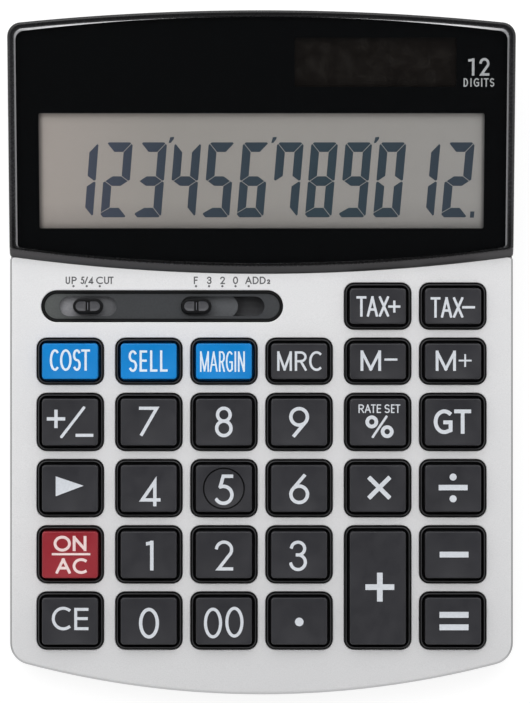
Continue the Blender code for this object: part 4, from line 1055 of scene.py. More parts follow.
BOWL = [(0, 1)] + arc(0.48, 0.745, 0.5, 0.255, 90, -90) + [(0, 0.49)]
GLYPHS = {
    "0": [arc(0.5, 0.5, 0.5, 0.5, 0, 360)],
    "1": [[(1, 0), (1, 1)], [(-0.2, 0.95), (1, 0.985)]],
    "2": [arc(0.5, 0.72, 0.5, 0.28, 166, -40) + [(0.14, 0), (1, 0)]],
    "3": [
        arc(0.49, 0.768, 0.46, 0.232, 166, -90),
        arc(0.49, 0.275, 0.51, 0.265, 90, -166),
        [(0.44, 0.54), (0.5, 0.54)],
    ],
    "4": [[(0.78, 0), (0.78, 0.83), (0.085, 0.17), (1, 0.17)]],
    "5": [[(0.97, 1), (0.43, 1), (0.25, 0.635)], arc(0.444, 0.317, 0.553, 0.311, 108, -143)],
    "6": [[(0.79, 0.985)] + arc(0.5, 0.303, 0.5, 0.303, 140, 485)],
    "7": [[(0, 1), (0.92, 1), (0.07, 0.02)]],
    "8": [arc(0.5, 0.765, 0.44, 0.235, 0, 360), arc(0.5, 0.265, 0.5, 0.265, 0, 360)],
    "9": [[(0.21, 0.015)] + arc(0.5, 0.697, 0.5, 0.303, 320, 665)],
    "A": [[(0, 0), (0.5, 1)], [(0.5, 1), (1, 0)], [(0.22, 0.33), (0.78, 0.33)]],
    "C": [arc(0.62, 0.5, 0.62, 0.5, 56, 304)],
    "D": [[(0, 0), (0, 1)] + arc(0.36, 0.5, 0.64, 0.5, 90, -90) + [(0, 0)]],
    "E": [[(1, 1), (0, 1), (0, 0), (1, 0)], [(0, 0.52), (0.94, 0.52)]],
    "F": [[(1, 1), (0, 1), (0, 0)], [(0, 0.52), (0.85, 0.52)]],
    "G": [arc(0.58, 0.5, 0.58, 0.5, 54, 292) + [(1, 0.09), (1, 0.47), (0.64, 0.47)]],
    "I": [[(0.5, 0), (0.5, 1)]],
    "L": [[(0, 1), (0, 0), (1, 0)]],
    "M": [[(0, 0), (0, 1)], [(0, 1), (0.5, 0.02)], [(0.5, 0.02), (1, 1)], [(1, 1), (1, 0)]],
    "N": [[(0, 0), (0, 1)], [(0, 1), (1, 0)], [(1, 0), (1, 1)]],
    "O": [arc(0.5, 0.5, 0.5, 0.5, 0, 360)],
    "P": [[(0, 0), (0, 1)], BOWL],
    "R": [[(0, 0), (0, 1)], BOWL, [(0.5, 0.49), (1, 0)]],
    "S": [arc(0.5, 0.75, 0.5, 0.25, 38, 270) + arc(0.5, 0.25, 0.5, 0.25, 90, -142)],
    "T": [[(0, 1), (1, 1)], [(0.5, 0), (0.5, 1)]],
    "U": [[(0, 1)] + arc(0.5, 0.3, 0.5, 0.3, 180, 360) + [(1, 1)]],
    "X": [[(0, 0), (1, 1)], [(0, 1), (1, 0)]],
    "/": [[(0, 0), (1, 1)]],
    "+": [[(0, 0.5), (1, 0.5)], [(0.5, 0), (0.5, 1)]],
    "-": [[(0, 0.5), (1, 0.5)]],
    "times": [[(0.03, 0.03), (0.97, 0.97)], [(0.03, 0.97), (0.97, 0.03)]],
}
SOLID_GLYPHS = {
    "disc": arc(0.5, 0.5, 0.5, 0.5, 0, 351),
    "triangle": [(0, 0), (1, 0.53), (0, 1)],
}


def stroke_polygons(points, thickness):
    """A stroke as one four-sided polygon for each step, with mitred corners and square ends."""
    closed = (points[0] - points[-1]).length < SAME_PLACE
    if closed:
        points = points[:-1]
    else:
        first = (points[0] - points[1]).normalized() * thickness / 2
        last = (points[-1] - points[-2]).normalized() * thickness / 2
        points = [points[0] + first] + points[1:-1] + [points[-1] + last]
    sides = []
    for i, point in enumerate(points):
        behind = points[i - 1] if closed or i > 0 else None
        ahead = points[(i + 1) % len(points)] if closed or i < len(points) - 1 else None
        into = (point - behind).normalized() if behind else (ahead - point).normalized()
        out = (ahead - point).normalized() if ahead else into
        along = (into + out).normalized()
        across = Vector((-along.y, along.x))
        stretch = 1 / max(across.dot(Vector((-into.y, into.x))), 1 / MITRE_LIMIT)
        across *= thickness / 2 * stretch
        sides.append((point + across, point - across))
    pairs = list(zip(sides, sides[1:]))
    if closed:
        pairs.append((sides[-1], sides[0]))
    return [(a[0], a[1], b[1], b[0]) for a, b in pairs]


def placed(points, box, inset):
    """Points from shares of a box to millimetres or pixels, inside an inset from its edges."""
    left, low, right, high = box
    width = right - left - 2 * inset
    height = high - low - 2 * inset
    return [Vector((left + inset + width * x, low + inset + height * y)) for x, y in points]


def glyph_polygons(glyph, box, thickness):
    if glyph in SOLID_GLYPHS:
        return [placed(SOLID_GLYPHS[glyph], box, 0)]
    polygons = []
    for stroke in GLYPHS[glyph]:
        points = []
        for place in placed(stroke, box, thickness / 2):
            if not points or (place - points[-1]).length > MERGE_DISTANCE:
                points.append(place)
        polygons += stroke_polygons(points, thickness)
    return polygons


def covers(polygon, point):
    """Whether a point lies inside a convex polygon."""
    turns = [(b - a).cross(point - a) > 0 for a, b in zip(polygon, [*polygon[1:], polygon[0]])]
    return all(turns) or not any(turns)


def words_mesh(glyphs, grid):
    """The flat union of some glyphs, each clipped to its box: (points, triangles)."""
    points, faces, inks = [], [], []
    for glyph, box, thickness in glyphs:
        left, low, right, high = box
        clip = placed(((0, 0), (1, 0), (1, 1), (0, 1)), box, 0)
        strokes = glyph_polygons(glyph, box, thickness)
        inks.append((clip, strokes))
        for polygon in [*strokes, clip]:
            faces.append(list(range(len(points), len(points) + len(polygon))))
            points.extend(polygon)
        for column in range(math.ceil((right - left) / grid)):
            for row in range(math.ceil((high - low) / grid)):
                points.append(Vector((left + grid * (column + 0.5), low + grid * (row + 0.5))))

    found, _, triangles, _, _, _ = geometry.delaunay_2d_cdt(points, [], faces, 0, MERGE_DISTANCE)

    def inked(triangle):
        middle = sum((found[index] for index in triangle), Vector((0, 0))) / 3
        strokes = [stroke for clip, own in inks if covers(clip, middle) for stroke in own]
        return any(covers(stroke, middle) for stroke in strokes)

    return found, [triangle for triangle in triangles if inked(triangle)]


def emboss(skin, flat, triangles, place, lift, sink):
    """A thin closed layer over a surface. place(x, y, n) gives the point n above it."""
    used = sorted({index for triangle in triangles for index in triangle})
    tops = {index: skin.mesh.verts.new(place(*flat[index], lift)) for index in used}
    feet = {index: skin.mesh.verts.new(place(*flat[index], -sink)) for index in used}
    edges = {(triangle[i - 1], triangle[i]) for triangle in triangles for i in range(3)}
    for triangle in triangles:
        skin.face([tops[index] for index in triangle])
        skin.face([feet[index] for index in reversed(triangle)])
    for a, b in edges:
        if (b, a) not in edges:
            skin.face((tops[b], tops[a], feet[a], feet[b]))


def in_pixels(glyphs):
    """Boxes and strokes in millimetres, trimmed by what the photograph's blur adds to a light mark."""
    sized = []
    for glyph, (left, low, right, high), thickness in glyphs:
        box = (left + LEGEND_TRIM, low + LEGEND_TRIM, right - LEGEND_TRIM, high - LEGEND_TRIM)
        sized.append((glyph, [edge * KEY_PIXEL for edge in box], (thickness - 2 * LEGEND_TRIM) * KEY_PIXEL))
    return sized


def make_legend(name, glyphs, material):
    (x, v), _, _ = PLACES[name]
    flat, triangles = words_mesh(in_pixels(glyphs), LEGEND_GRID)
    skin = Skin()

    def place(across, up, n):
        return DECK @ Vector((x + across, v + up, top_height(name, across, up) + n))

    emboss(skin, flat, triangles, place, LEGEND_LIFT, LEGEND_SINK)
    make_piece(f"{name}_legend", skin, [material], body=name)


def word(letters, low, high, stroke, *ends):
    """Letters of one height. The ends are each letter's left and right edge in turn."""
    sides = zip(ends[::2], ends[1::2])
    return [(letter, (left, low, right, high), stroke) for letter, (left, right) in zip(letters, sides)]


KEY_LEGENDS = {
    "key_clear_entry": [("C", (-18.3, -9.3, 1.2, 14.7), 3.4), ("E", (4.1, -9.1, 18.8, 13.6), 3.4)],
    "key_0": [("0", (-9.9, -17.5, 10.6, 13.7), 3.8)],
    "key_double_zero": [("0", (-20.2, -17.3, -1.6, 13.8), 3.5), ("0", (1.2, -16.5, 19.8, 14.7), 3.5)],
    "key_point": [("disc", (-4.4, -5.2, 4.6, 3.8), 0)],
    "key_equals": [("-", (-13.9, 3.2, 15.6, 9.6), 6.4), ("-", (-13.9, -9.2, 15.6, -2.9), 6.3)],
    "key_on_clear": [
        ("O", (-16.5, 3.1, 1.2, 19.4), 3.3), ("N", (2.6, 3.6, 16.8, 19.2), 3.3),
        ("-", (-18.4, -0.6, 20.7, 2.1), 2.7), ("A", (-14.5, -19, 1.2, -3.1), 3.2),
        ("C", (2.5, -19.2, 17.4, -3.1), 3.2),
    ],
    "key_1": [("1", (-2.9, -15.7, 5.1, 14.4), 3.9)],
    "key_2": [("2", (-9.3, -15.8, 9.5, 14.6), 3.6)],
    "key_3": [("3", (-10, -16.7, 8, 14.5), 3.6)],
    "key_add": [("+", (-12.7, -13.7, 16.6, 15.6), 6.1)],
    "key_subtract": [("-", (-13.7, -2.8, 15.6, 3.4), 6.2)],
    "key_backspace": [("triangle", (-14.4, -8, 13.9, 12.4), 0)],
    "key_4": [("4", (-9.9, -18, 12.1, 13.5), 3.8)],
    "key_5": [("5", (-9.2, -16.9, 10, 14.2), 3.9)],
    "key_6": [("6", (-10.2, -15.9, 10.3, 15), 3.9)],
    "key_multiply": [("times", (-10.7, -11.2, 13.5, 12.9), 4.9)],
    "key_divide": [
        ("-", (-14.7, -2, 14.7, 3.9), 5.9), ("disc", (-3.8, 7.7, 3.7, 15.2), 0),
        ("disc", (-3.8, -14, 3.7, -6.5), 0),
    ],
    "key_sign_change": [
        ("+", (-23.3, -6.1, -4.5, 12.7), 3.8), ("/", (-10, -16.2, 15.6, 16), 3.3),
        ("-", (5.5, -14.9, 23.7, -11.4), 3.5),
    ],
    "key_7": [("7", (-9.9, -14.5, 11.3, 15.7), 3.6)],
    "key_8": [("8", (-9.1, -15.3, 9, 15.8), 3.8)],
    "key_9": [("9", (-10.2, -15.6, 10.2, 15.5), 3.9)],
    "key_percent": [
        *word("RATE", 8.9, 18, 1.6, -19.6, -13.6, -13.5, -6.8, -7.1, -2, -1.4, 3.4),
        *word("SET", 8.9, 18, 1.6, 6.4, 12.1, 12.9, 16.9, 17.2, 22.6),
        ("O", (-12.7, -6.4, 0.5, 6.9), 4.1), ("O", (2.7, -16.1, 15.9, -2.9), 4.1),
        ("/", (-6.5, -16.1, 9.9, 6.9), 2.8),
    ],
    "key_grand_total": [("G", (-19.7, -12.1, -0.4, 13), 4.3), ("T", (0.8, -11.8, 18.2, 12.9), 4.2)],
    "key_cost": [
        *word("COS", -9.7, 12.3, 2.7, -20.3, -11, -10.1, 1.9, 2.8, 11.1),
        ("T", (11.1, -9.5, 20.4, 12.2), 2.7),
    ],
    "key_sell": [
        ("S", (-20.2, -10.7, -11.3, 11.3), 2.7),
        *word("ELL", -10.5, 11.2, 2.7, -9.3, -1.3, 1.2, 9, 11.2, 19.2),
    ],
    "key_margin": [
        *word("MA", -10.7, 10.3, 2, -24.1, -14.7, -14.4, -6), ("R", (-5.2, -10.7, 1.3, 10.3), 2.1),
        ("G", (1.7, -10.8, 9.2, 10.4), 2.1), *word("IN", -10.7, 10.3, 2.1, 10.4, 12.5, 13.8, 21.2),
    ],
    "key_memory_recall": [
        *word("MR", -9.7, 10.3, 2.8, -22.2, -7, -4.6, 7.9), ("C", (9.7, -9.8, 22.7, 10.4), 2.8),
    ],
    "key_memory_minus": [("M", (-17.6, -9.7, 3.4, 11.2), 3.3), ("-", (6.3, 0.5, 19.7, 3.1), 2.6)],
    "key_memory_plus": [("M", (-17.7, -9.7, 3, 11), 3.3), ("+", (5.3, -5.8, 18.7, 7.4), 2.2)],
    "key_tax_plus": [
        *word("TAX", -10.8, 10.2, 2.9, -21.7, -11.3, -11.4, 0.4, 0.6, 11.5),
        ("+", (10.1, -6.7, 22.7, 5.8), 2.8),
    ],
    "key_tax_minus": [
        *word("TAX", -11.8, 9.2, 2.9, -22.8, -12.5, -12.5, -0.7, -0.5, 10.5),
        ("-", (8.8, -2.6, 22.1, 0.3), 2.9),
    ],
}

LABEL_STROKE = 0.36
LABEL_GLYPHS = word(
    "UP5/4CUTF320ADD", 20.68, 22.84, LABEL_STROKE,
    -56.49, -55.2, -54.76, -53.26, -52.19, -51.07, -51.07, -50.03, -49.97, -48.45,
    -47.69, -45.7, -45.4, -43.95, -44.0, -42.65, -19.53, -18.34, -15.75, -14.4,
    -11.94, -10.55, -8.25, -6.76, -4.71, -2.81, -2.55, -0.82, -0.53, 1.2,
)
LABEL_GLYPHS.append(("2", (1.55, 20.72, 2.5, 22.05), LABEL_STROKE))
LABEL_DOT_V, LABEL_DOT_RADIUS = 20.08, 0.32
LABEL_DOTS = (-54.21, -50.4, -46.63, -18.89, -15.14, -11.31, -7.5, -3.7)

WINDOW_WORDS = (
    ("1", (59.02, 81.4, 60.82, 86.36), 0.72), ("2", (62.2, 81.4, 65.1, 86.48), 0.72),
    *word("DIG", 78.22, 80.66, 0.34, 57.75, 59.02, 59.65, 60.1, 60.64, 62.2),
    *word("ITS", 78.22, 80.66, 0.34, 62.72, 63.17, 63.53, 64.91, 65.28, 66.54),
)


def make_labels():
    """The small words and dots that name the switches' places."""
    glyphs = list(LABEL_GLYPHS)
    low, high = LABEL_DOT_V - LABEL_DOT_RADIUS, LABEL_DOT_V + LABEL_DOT_RADIUS
    for x in LABEL_DOTS:
        glyphs.append(("disc", (x - LABEL_DOT_RADIUS, low, x + LABEL_DOT_RADIUS, high), 0))
    flat, triangles = words_mesh(glyphs, 4 * LEGEND_GRID)
    skin = Skin()
    emboss(skin, flat, triangles, lambda x, v, n: DECK @ Vector((x, v, n)), LABEL_LIFT, LABEL_SINK)
    make_piece("switch_labels", skin, [ink_label])


# Switch strip and sliders


def slot_outline(name, steps_before, steps_after):
    """A switch's slot: its knob's length plus its travel."""
    low, high = local_box(name, DECK)
    middle = (low.x + high.x) / 2
    left = middle - KNOB_LENGTH / 2 - steps_before * SWITCH_PITCH - FIT
    right = middle + KNOB_LENGTH / 2 + steps_after * SWITCH_PITCH + FIT
    return stadium(right - left, SLOT_HEIGHT, ((left + right) / 2, PANEL_CENTRE[1]))


def make_switch_panel():
    """The sunk strip under the cover, with a rounded lip, a slope down to its floor, and two slots. The lip
    and slope are black as painted shade, and the floor is lighter at its left end as painted light.
    """
    skin = Skin()
    flange = panel_outline(-PANEL_FLANGE)
    rim = FIT - PANEL_REACH
    rings = [on(DECK, flange, n) for n in (PANEL_BOTTOM, FRAME_TOP)]
    rings.append(on(DECK, panel_outline(rim), FRAME_TOP))
    rings += [on(DECK, panel_outline(rim + inset), -PANEL_SINK - drop) for inset, drop in rounding(PANEL_LIP)]
    rings += [on(DECK, panel_outline(rim + PANEL_LIP + inset), n) for inset, n in PANEL_BANK]
    # The lip and slope take the black: painted shade
    skin.paint = 1
    walls = [skin.tube(rings)]
    # The floor takes the panel grey, lighter at its left end: painted light
    skin.paint = 0
    for outline in (slot_outline("rounding_switch", 1, 1), slot_outline("decimal_switch", 0, DECIMAL_STEPS)):
        walls.append(skin.tube([on(DECK, outline, PANEL_BOTTOM), on(DECK, outline, PANEL_FLOOR)]))
    skin.plate(walls, DECK_NORMAL)
    make_piece("switch_panel_strip", skin, [panel_painted_light, rim_black], "switch_panel", "panel_plastic", sharp=25)


def pad_outline(side, inset):
    """One finger pad of a knob: round at the knob's end, straight along the rib."""
    radius = KNOB_HEIGHT / 2 - KNOB_DRAFT - KNOB_RIM - inset
    corner_x = KNOB_RIB / 2 + inset + PAD_CORNER
    corner_y = radius - PAD_CORNER
    points = arc(KNOB_LENGTH / 2 - KNOB_HEIGHT / 2, 0, radius, radius, -90, 90, 12)
    points += arc(corner_x, corner_y, PAD_CORNER, PAD_CORNER, 90, 180, 4)
    points += arc(corner_x, -corner_y, PAD_CORNER, PAD_CORNER, 180, 270, 4)
    return [Vector((side * x, y)) for x, y in points]


def make_knob(name, ring):
    """The knob: a stadium with a hollow pad on each side of a rib, and a thin crest on the rib with a painted
    highlight.
    """
    skin = Skin()
    wide = stadium(KNOB_LENGTH + 2 * KNOB_SKIN, KNOB_HEIGHT + 2 * KNOB_SKIN)
    rings = [ring(wide, SLIDER_TOP - KNOB_SINK), ring(wide, KNOB_FOOT)]
    for inset, drop in rounding(KNOB_ROUND):
        shrink = 2 * (KNOB_DRAFT + inset - KNOB_SKIN)
        rings.append(ring(stadium(KNOB_LENGTH - shrink, KNOB_HEIGHT - shrink), KNOB_RISE - drop))
    base, top = skin.tube(rings)
    skin.face(base)
    tops = [top]
    for side in (-1, 1):
        profile = [(0, 0), (PAD_LIP, PAD_LIP_DROP)]
        for share in PAD_STEPS:
            profile.append((PAD_LIP + PAD_REACH * share, KNOB_DIMPLE * math.sin(math.radians(90) * share)))
        rings = [ring(pad_outline(side, inset), KNOB_RISE - deep) for inset, deep in profile]
        skin.paint = 1
        tops.append(skin.pit(rings))
        skin.paint = 0
    rings = []
    for step in range(3):
        grow = CREST_BEVEL * (1 - step)
        crest = stadium_up(KNOB_CREST + grow, KNOB_CREST_LENGTH + grow)
        rings.append(ring(crest, KNOB_RISE + KNOB_CREST_RISE * step / 2))
    foot, crest = skin.tube(rings)
    skin.fill([*tops, foot], DECK_NORMAL)
    # The crest's face takes the painted highlight
    skin.paint = 2
    skin.face(crest)
    make_piece(f"{name}_knob", skin, [knob_black, knob_pad, knob_crest_painted_highlight], name, "knob_plastic", name)


def make_switch(name):
    """A switch: the black knob in its slot, and the grey slider plate, with painted light and shade on it,
    that covers the slot's bottom.
    """
    low, high = local_box(name, DECK)
    middle = Vector(((low.x + high.x) / 2, PANEL_CENTRE[1]))

    def ring(points, n):
        return [DECK @ Vector((middle.x + x, middle.y + y, n)) for x, y in points]

    make_knob(name, ring)
    rings = [ring(stadium(SLIDER_LENGTH, SLIDER_HEIGHT), SLIDER_BOTTOM)]
    for inset, drop in rounding(SLIDER_ROUND, 3):
        rings.append(ring(stadium(SLIDER_LENGTH - 2 * inset, SLIDER_HEIGHT - 2 * inset), SLIDER_TOP - drop))
    skin = Skin()
    skin.solid(rings)
    # The plate's grey carries the painted light and shade
    make_piece(f"{name}_plate", skin, [slider_painted_light], name, "knob_plastic", name)


# Key membrane


def make_membrane():
    """The rubber sheet, and on it a dome under each key."""
    low, high = local_box("key_membrane", DECK)
    sheet_top = low.z + SHEET_THICKNESS
    rise = high.z - sheet_top
    back = (high.y, SHEET_BACK_RADIUS, SEAM_CORNER)
    outline = plan_outline(HALF_WIDTH - SHEET_INSET, front_edge(SHEET_INSET), back)
    skin = Skin()
    walls = []
    for points in (outline, switch_bay()):
        walls.append(skin.tube([on(DECK, points, n) for n in (low.z, sheet_top)]))
    skin.plate(walls, DECK_NORMAL)
    finish = ([membrane_grey], "key_membrane", "membrane_rubber")
    make_piece("key_membrane_sheet", skin, *finish)
    profile = [(DOME_FOOT, -SHEET_THICKNESS / 4)]
    profile += [(DOME_FOOT * wide, rise * share) for wide, share in DOME_PROFILE]
    for key, (centre, _, _) in PLACES.items():
        skin = Skin()
        skin.solid([on(DECK, circle(radius, centre), sheet_top + up) for radius, up in profile])
        dome = make_piece(f"{key}_dome", skin, *finish)
        anchor = DECK @ Vector((*centre, sheet_top)) * MM
        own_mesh(dome)


# Display head


def chin_rings(seam):
    """The chin from the seam up to the rim: upright at its foot and leaning back more and more."""
    rings = []
    for step in range(CHIN_STEPS + 1):
        share = step / CHIN_STEPS
        lean = seam + (CHIN_LEAN - seam) * (1 - math.cos(math.radians(90) * share))
        points = head_outline(0, lean)
        rings.append([
            Vector((x, y, mixed(deck_z(y), head_z(y) - HEAD_EDGE_ROUND, share))) for x, y in points
        ])
    return rings


def make_head_housing():
    """The black shell round the window: satin chin in front, rounded rim, and the ledge under the window.
    Painted shade darkens the chin towards its foot and the rim at its front and back.
    """
    skin = Skin()
    ledge_top = raised(head_z, -WINDOW_THICKNESS - FIT)
    ledge_bottom = raised(head_z, -WINDOW_THICKNESS - FIT - LEDGE_THICKNESS)
    seam = SEAM_GAP / 2
    foot = raised(parting_z, FIT)
    # The outer walls and the chin: grey darkening towards the foot, which is painted shade
    skin.paint = 1
    inside, end = skin.tube([
        at(head_outline(WALL, FIT + WALL), foot),
        at(head_outline(EDGE_BREAK, seam), foot),
        at(head_outline(0, seam), raised(parting_z, FIT + EDGE_BREAK)),
        *chin_rings(seam),
    ])
    # The rim takes the black, with its painted shade at the front and back
    skin.paint = 0
    rings = []
    for inset, drop in rounding(HEAD_EDGE_ROUND, 6)[1:]:
        rings.append(at(head_outline(inset, CHIN_LEAN + inset * CHIN_ROUND_SHARE), raised(head_z, -drop)))
    for inset, drop in reversed(rounding(RIM_LIP, 3)):
        rings.append(at(window_outline(-inset), raised(head_z, -drop)))
    rings += [
        at(window_outline(), ledge_top),
        at(window_outline(LEDGE_WIDTH), ledge_top),
        at(window_outline(LEDGE_WIDTH), ledge_bottom),
        at(head_outline(WALL, CHIN_LEAN + RIM_FRONT), ledge_bottom),
    ]
    _, last = skin.tube(rings, end)
    skin.wall(last, inside)
    make_piece("head_shell", skin, [head_black_painted_shade, chin_painted_shade], "head_housing", "black_plastic")


def make_window():
    """The clear sheet with its bevelled edge, which carries a painted highlight."""
    skin = Skin()
    # The bevel and the edge take the painted highlight
    skin.paint = 1
    bottom, top = skin.tube([
        at(window_outline(WINDOW_GAP), raised(head_z, -WINDOW_THICKNESS)),
        at(window_outline(WINDOW_GAP), raised(head_z, -WINDOW_BEVEL)),
        at(bevel_outline(), head_z),
    ])
    skin.paint = 2
    skin.face(bottom)
    skin.paint = 0
    skin.face(top)
    make_piece("window_sheet", skin, [acrylic, lens_edge_painted_highlight, acrylic_back], "display_window", "window_acrylic")


def make_window_print():
    """The black print behind the window, its openings for the digits and the cell, and its words."""
    print_top = -WINDOW_THICKNESS * math.cos(math.atan(slope(HEAD))) - PRINT_GAP
    levels = (print_top - PRINT_THICKNESS, print_top)
    skin = Skin()
    walls = [skin.tube([on(HEAD, in_plane(HEAD, window_outline(WINDOW_GAP), n), n) for n in levels])]
    for left, low, right, high in (LCD_OPENING, SOLAR_OPENING):
        middle = ((left + right) / 2, (low + high) / 2)
        hole = rounded_rectangle(right - left, high - low, PRINT_CORNER, middle)
        walls.append(skin.tube([on(HEAD, hole, n) for n in levels]))
    skin.plate(walls, HEAD_NORMAL)
    make_piece("window_print", skin, [print_black], slot="window_acrylic")

    def place(x, s, n):
        return HEAD @ Vector((x, s, print_top + n))

    flat, triangles = words_mesh(WINDOW_WORDS, 3 * LEGEND_GRID)
    skin = Skin()
    emboss(skin, flat, triangles, place, WORDS_LIFT, WORDS_SINK)
    make_piece("window_words", skin, [ink_window])


# Liquid crystal digits


def segment_polygons():
    """The seven segments of an upright digit, with its low left corner at the origin."""
    width, middle = DIGIT_WIDTH, DIGIT_MIDDLE
    thick, deep, corner = SEGMENT_WIDTH, SEGMENT_HEIGHT, SEGMENT_CORNER
    above, below = DIGIT_HEIGHT - middle, middle

    def bevel(height):
        """The middle and the low end of the cut at a digit's outer corner."""
        return [(corner / 2, height - corner / 2), (0, height - corner)]

    def bar(height, left):
        """The bar at the end of a digit, y measured up to its edge, with the points of its left end."""
        right = [(width - corner / 2, height - corner / 2), (width - corner, height)]
        return [(corner, height), *left, (thick, height - deep), (width - thick, height - deep), *right]

    def upright(height, end):
        """A segment on the left side, from the middle of the digit up to the points of its end."""
        return [(0, SEGMENT_SHOULDER), (SEGMENT_TIP, 0), (thick, deep / 2), (thick, height - deep), *end]

    def moved(points, across=False, down=False):
        return [(width - x if across else x, middle - y if down else middle + y) for x, y in points]

    foot = (0, below - SEGMENT_FOOT)
    middle_bar = [(SEGMENT_TIP, 0), (thick, -deep / 2), (width - thick, -deep / 2)]
    middle_bar += [(width - x, -y) for x, y in middle_bar]
    return {
        "a": moved(bar(above, bevel(above)[:1])),
        "b": moved(upright(above, bevel(above)), across=True),
        "c": moved(upright(below, bevel(below)), across=True, down=True),
        "d": moved(bar(below, [bevel(below)[1], foot]), down=True),
        "e": moved(upright(below, [foot]), down=True),
        "f": moved(upright(above, bevel(above))),
        "g": moved(middle_bar),
    }


def shrunk(points, by):
    """A polygon with each edge moved in by a distance."""
    points = [Vector(point) for point in points]
    area = sum(a.cross(b) for a, b in zip(points, points[1:] + points[:1]))
    if area < 0:
        points.reverse()
    moved = []
    for i, point in enumerate(points):
        into = (point - points[i - 1]).normalized()
        out = (points[(i + 1) % len(points)] - point).normalized()
        inward = Vector((-into.y, into.x)) + Vector((-out.y, out.x))
        inward.normalize()
        moved.append(point + inward * by / inward.dot(Vector((-into.y, into.x))))
    return moved


DIGIT_SEGMENTS = {
    "1": "bc", "2": "abged", "3": "abgcd", "4": "fgbc", "5": "afgcd",
    "6": "afgecd", "7": "fabc", "8": "abcdefg", "9": "abcdfg", "0": "abcdef",
}
SHOWN_DIGITS = "123456789012"
POINT_SHAPE = ((8.35, 0), (9.5, 0), (9.5, 1.8), (8.35, 1.8))
TICK_SHAPE = ((8.2, 21.7), (8.8, 21.7), (9.6, 22.85), (9.6, 23.45), (8.5, 23.35), (8.4, 22.7))


def make_digits():
    """The crystal segments, lying on the panel's front glass."""
    segments = segment_polygons()
    glass = local_box("lcd_panel", HEAD)[1].z
    skin = Skin()

    def add(points, left):
        leaning = [(left + x + (y - DIGIT_HEIGHT / 2) * DIGIT_LEAN, DIGIT_FRONT + y) for x, y in points]
        skin.solid([on(HEAD, leaning, glass + lift) for lift in (-SEGMENT_LIFT, SEGMENT_LIFT)])

    for number, digit in enumerate(SHOWN_DIGITS):
        left = DIGIT_LEFT + DIGIT_PITCH * number
        for segment in DIGIT_SEGMENTS[digit]:
            add(shrunk(segments[segment], SEGMENT_GAP), left)
        if number in TICK_AFTER:
            add(TICK_SHAPE, left)
    add(POINT_SHAPE, left)
    make_piece("lcd_digits", skin, [crystal])


# Underside


def plan_place(name):
    """A node's middle in plan, and its lowest and highest corner."""
    low, high = local_box(name)
    return ((low + high) / 2).xy, low, high


def turned(centre, profile):
    """Rings round a centre, from a profile of (radius, z)."""
    return [at(circle(radius, centre), z) for radius, z in profile]


def foot_recess(skin, name):
    """A shallow recess for a foot. Returns its rim."""
    recess = FOOT_RADIUS + FIT
    profile = [(recess + EDGE_BREAK, FOOT_HEIGHT)]
    profile += [(recess, FOOT_HEIGHT + rise) for rise in (EDGE_BREAK, FOOT_RECESS)]
    return skin.pit(turned(plan_place(name)[0], profile))


def screw_well(skin, name):
    """A bore for a screw's head, and the pillar round it inside the tray. Returns the rims of both."""
    centre, low, _ = plan_place(name)
    bore = SCREW_HEAD_RADIUS + FIT
    shank = SCREW_RADIUS + FIT
    land = low.z + CASE_SCREW_HEAD + FIT
    return skin.tube(turned(centre, (
        (bore + BORE_BREAK, FOOT_HEIGHT), (bore, FOOT_HEIGHT + BORE_BREAK), (bore, land),
        (shank, land), (shank, land + BOSS_DEPTH),
        (BOSS_RADIUS, land + BOSS_DEPTH), (BOSS_RADIUS, FOOT_HEIGHT + FLOOR),
    )))


def cover_bay(skin):
    """The recess for the cell's cover, and the raised floor over it. Returns the rims of both."""
    middle, low, high = plan_place("battery_cover")
    size = high - low

    def bay(grow, corner, height):
        points = rounded_rectangle(size.x + 2 * grow, size.y + 2 * grow, corner, middle)
        return at(points, FOOT_HEIGHT + height)

    corner = COVER_RECESS_ROUND + FIT
    recess = skin.pit([
        bay(FIT + COVER_BREAK, corner + COVER_BREAK, 0),
        bay(FIT, corner, COVER_BREAK),
        bay(FIT, corner, COVER_DEPTH),
    ])
    lid = [bay(FIT + LID_MARGIN, COVER_RECESS_ROUND, height) for height in (FLOOR, LID_HEIGHT)]
    return recess, skin.pit(lid)


def make_bottom_case():
    """The tray, with recesses below for the feet, the screws and the cell's cover."""
    skin = Skin()
    rings = [
        at(case_outline(WALL + SIDE_DRAFT), FOOT_HEIGHT + FLOOR),
        at(case_outline(WALL), parting_z),
        at(case_outline(EDGE_BREAK), parting_z),
        at(case_outline(0), raised(parting_z, -EDGE_BREAK)),
    ]
    for inset, rise in rounding(UNDERSIDE_ROUND, 7):
        rings.append(at(case_outline(SIDE_DRAFT + inset), FOOT_HEIGHT + rise))
    inside, under = skin.tube(rings)
    holes = [foot_recess(skin, f"rubber_foot_{number}") for number in range(1, 5)]
    wells = [screw_well(skin, f"case_screw_{number}") for number in range(1, 5)]
    wells.append(cover_bay(skin))
    holes += [rim for rim, _ in wells]
    floor_holes = [rim for _, rim in wells]
    skin.fill([under, *holes], UP)
    skin.fill([inside, *floor_holes], UP)
    make_piece("bottom_tray", skin, [case_black], "bottom_case", "case_plastic")


def make_foot(name):
    """A rubber foot with a shallow hollow in its sole."""
    centre, _, high = plan_place(name)
    skin = Skin()
    skin.solid(turned(centre, [*FOOT_PROFILE, (FOOT_RADIUS, high.z)]))
    make_piece(f"{name}_pad", skin, [foot_black], name, "foot_rubber")


def cross_outline(arm, blade, centre):
    """A cross recess, as the outline of two crossed bars."""
    half = blade / 2
    corner = [(arm, -half), (arm, half), (half, half)]
    points = []
    for quarter in range(4):
        turn = Matrix.Rotation(math.radians(90 * quarter), 2)
        points += [turn @ Vector(point) + centre for point in corner]
    return points


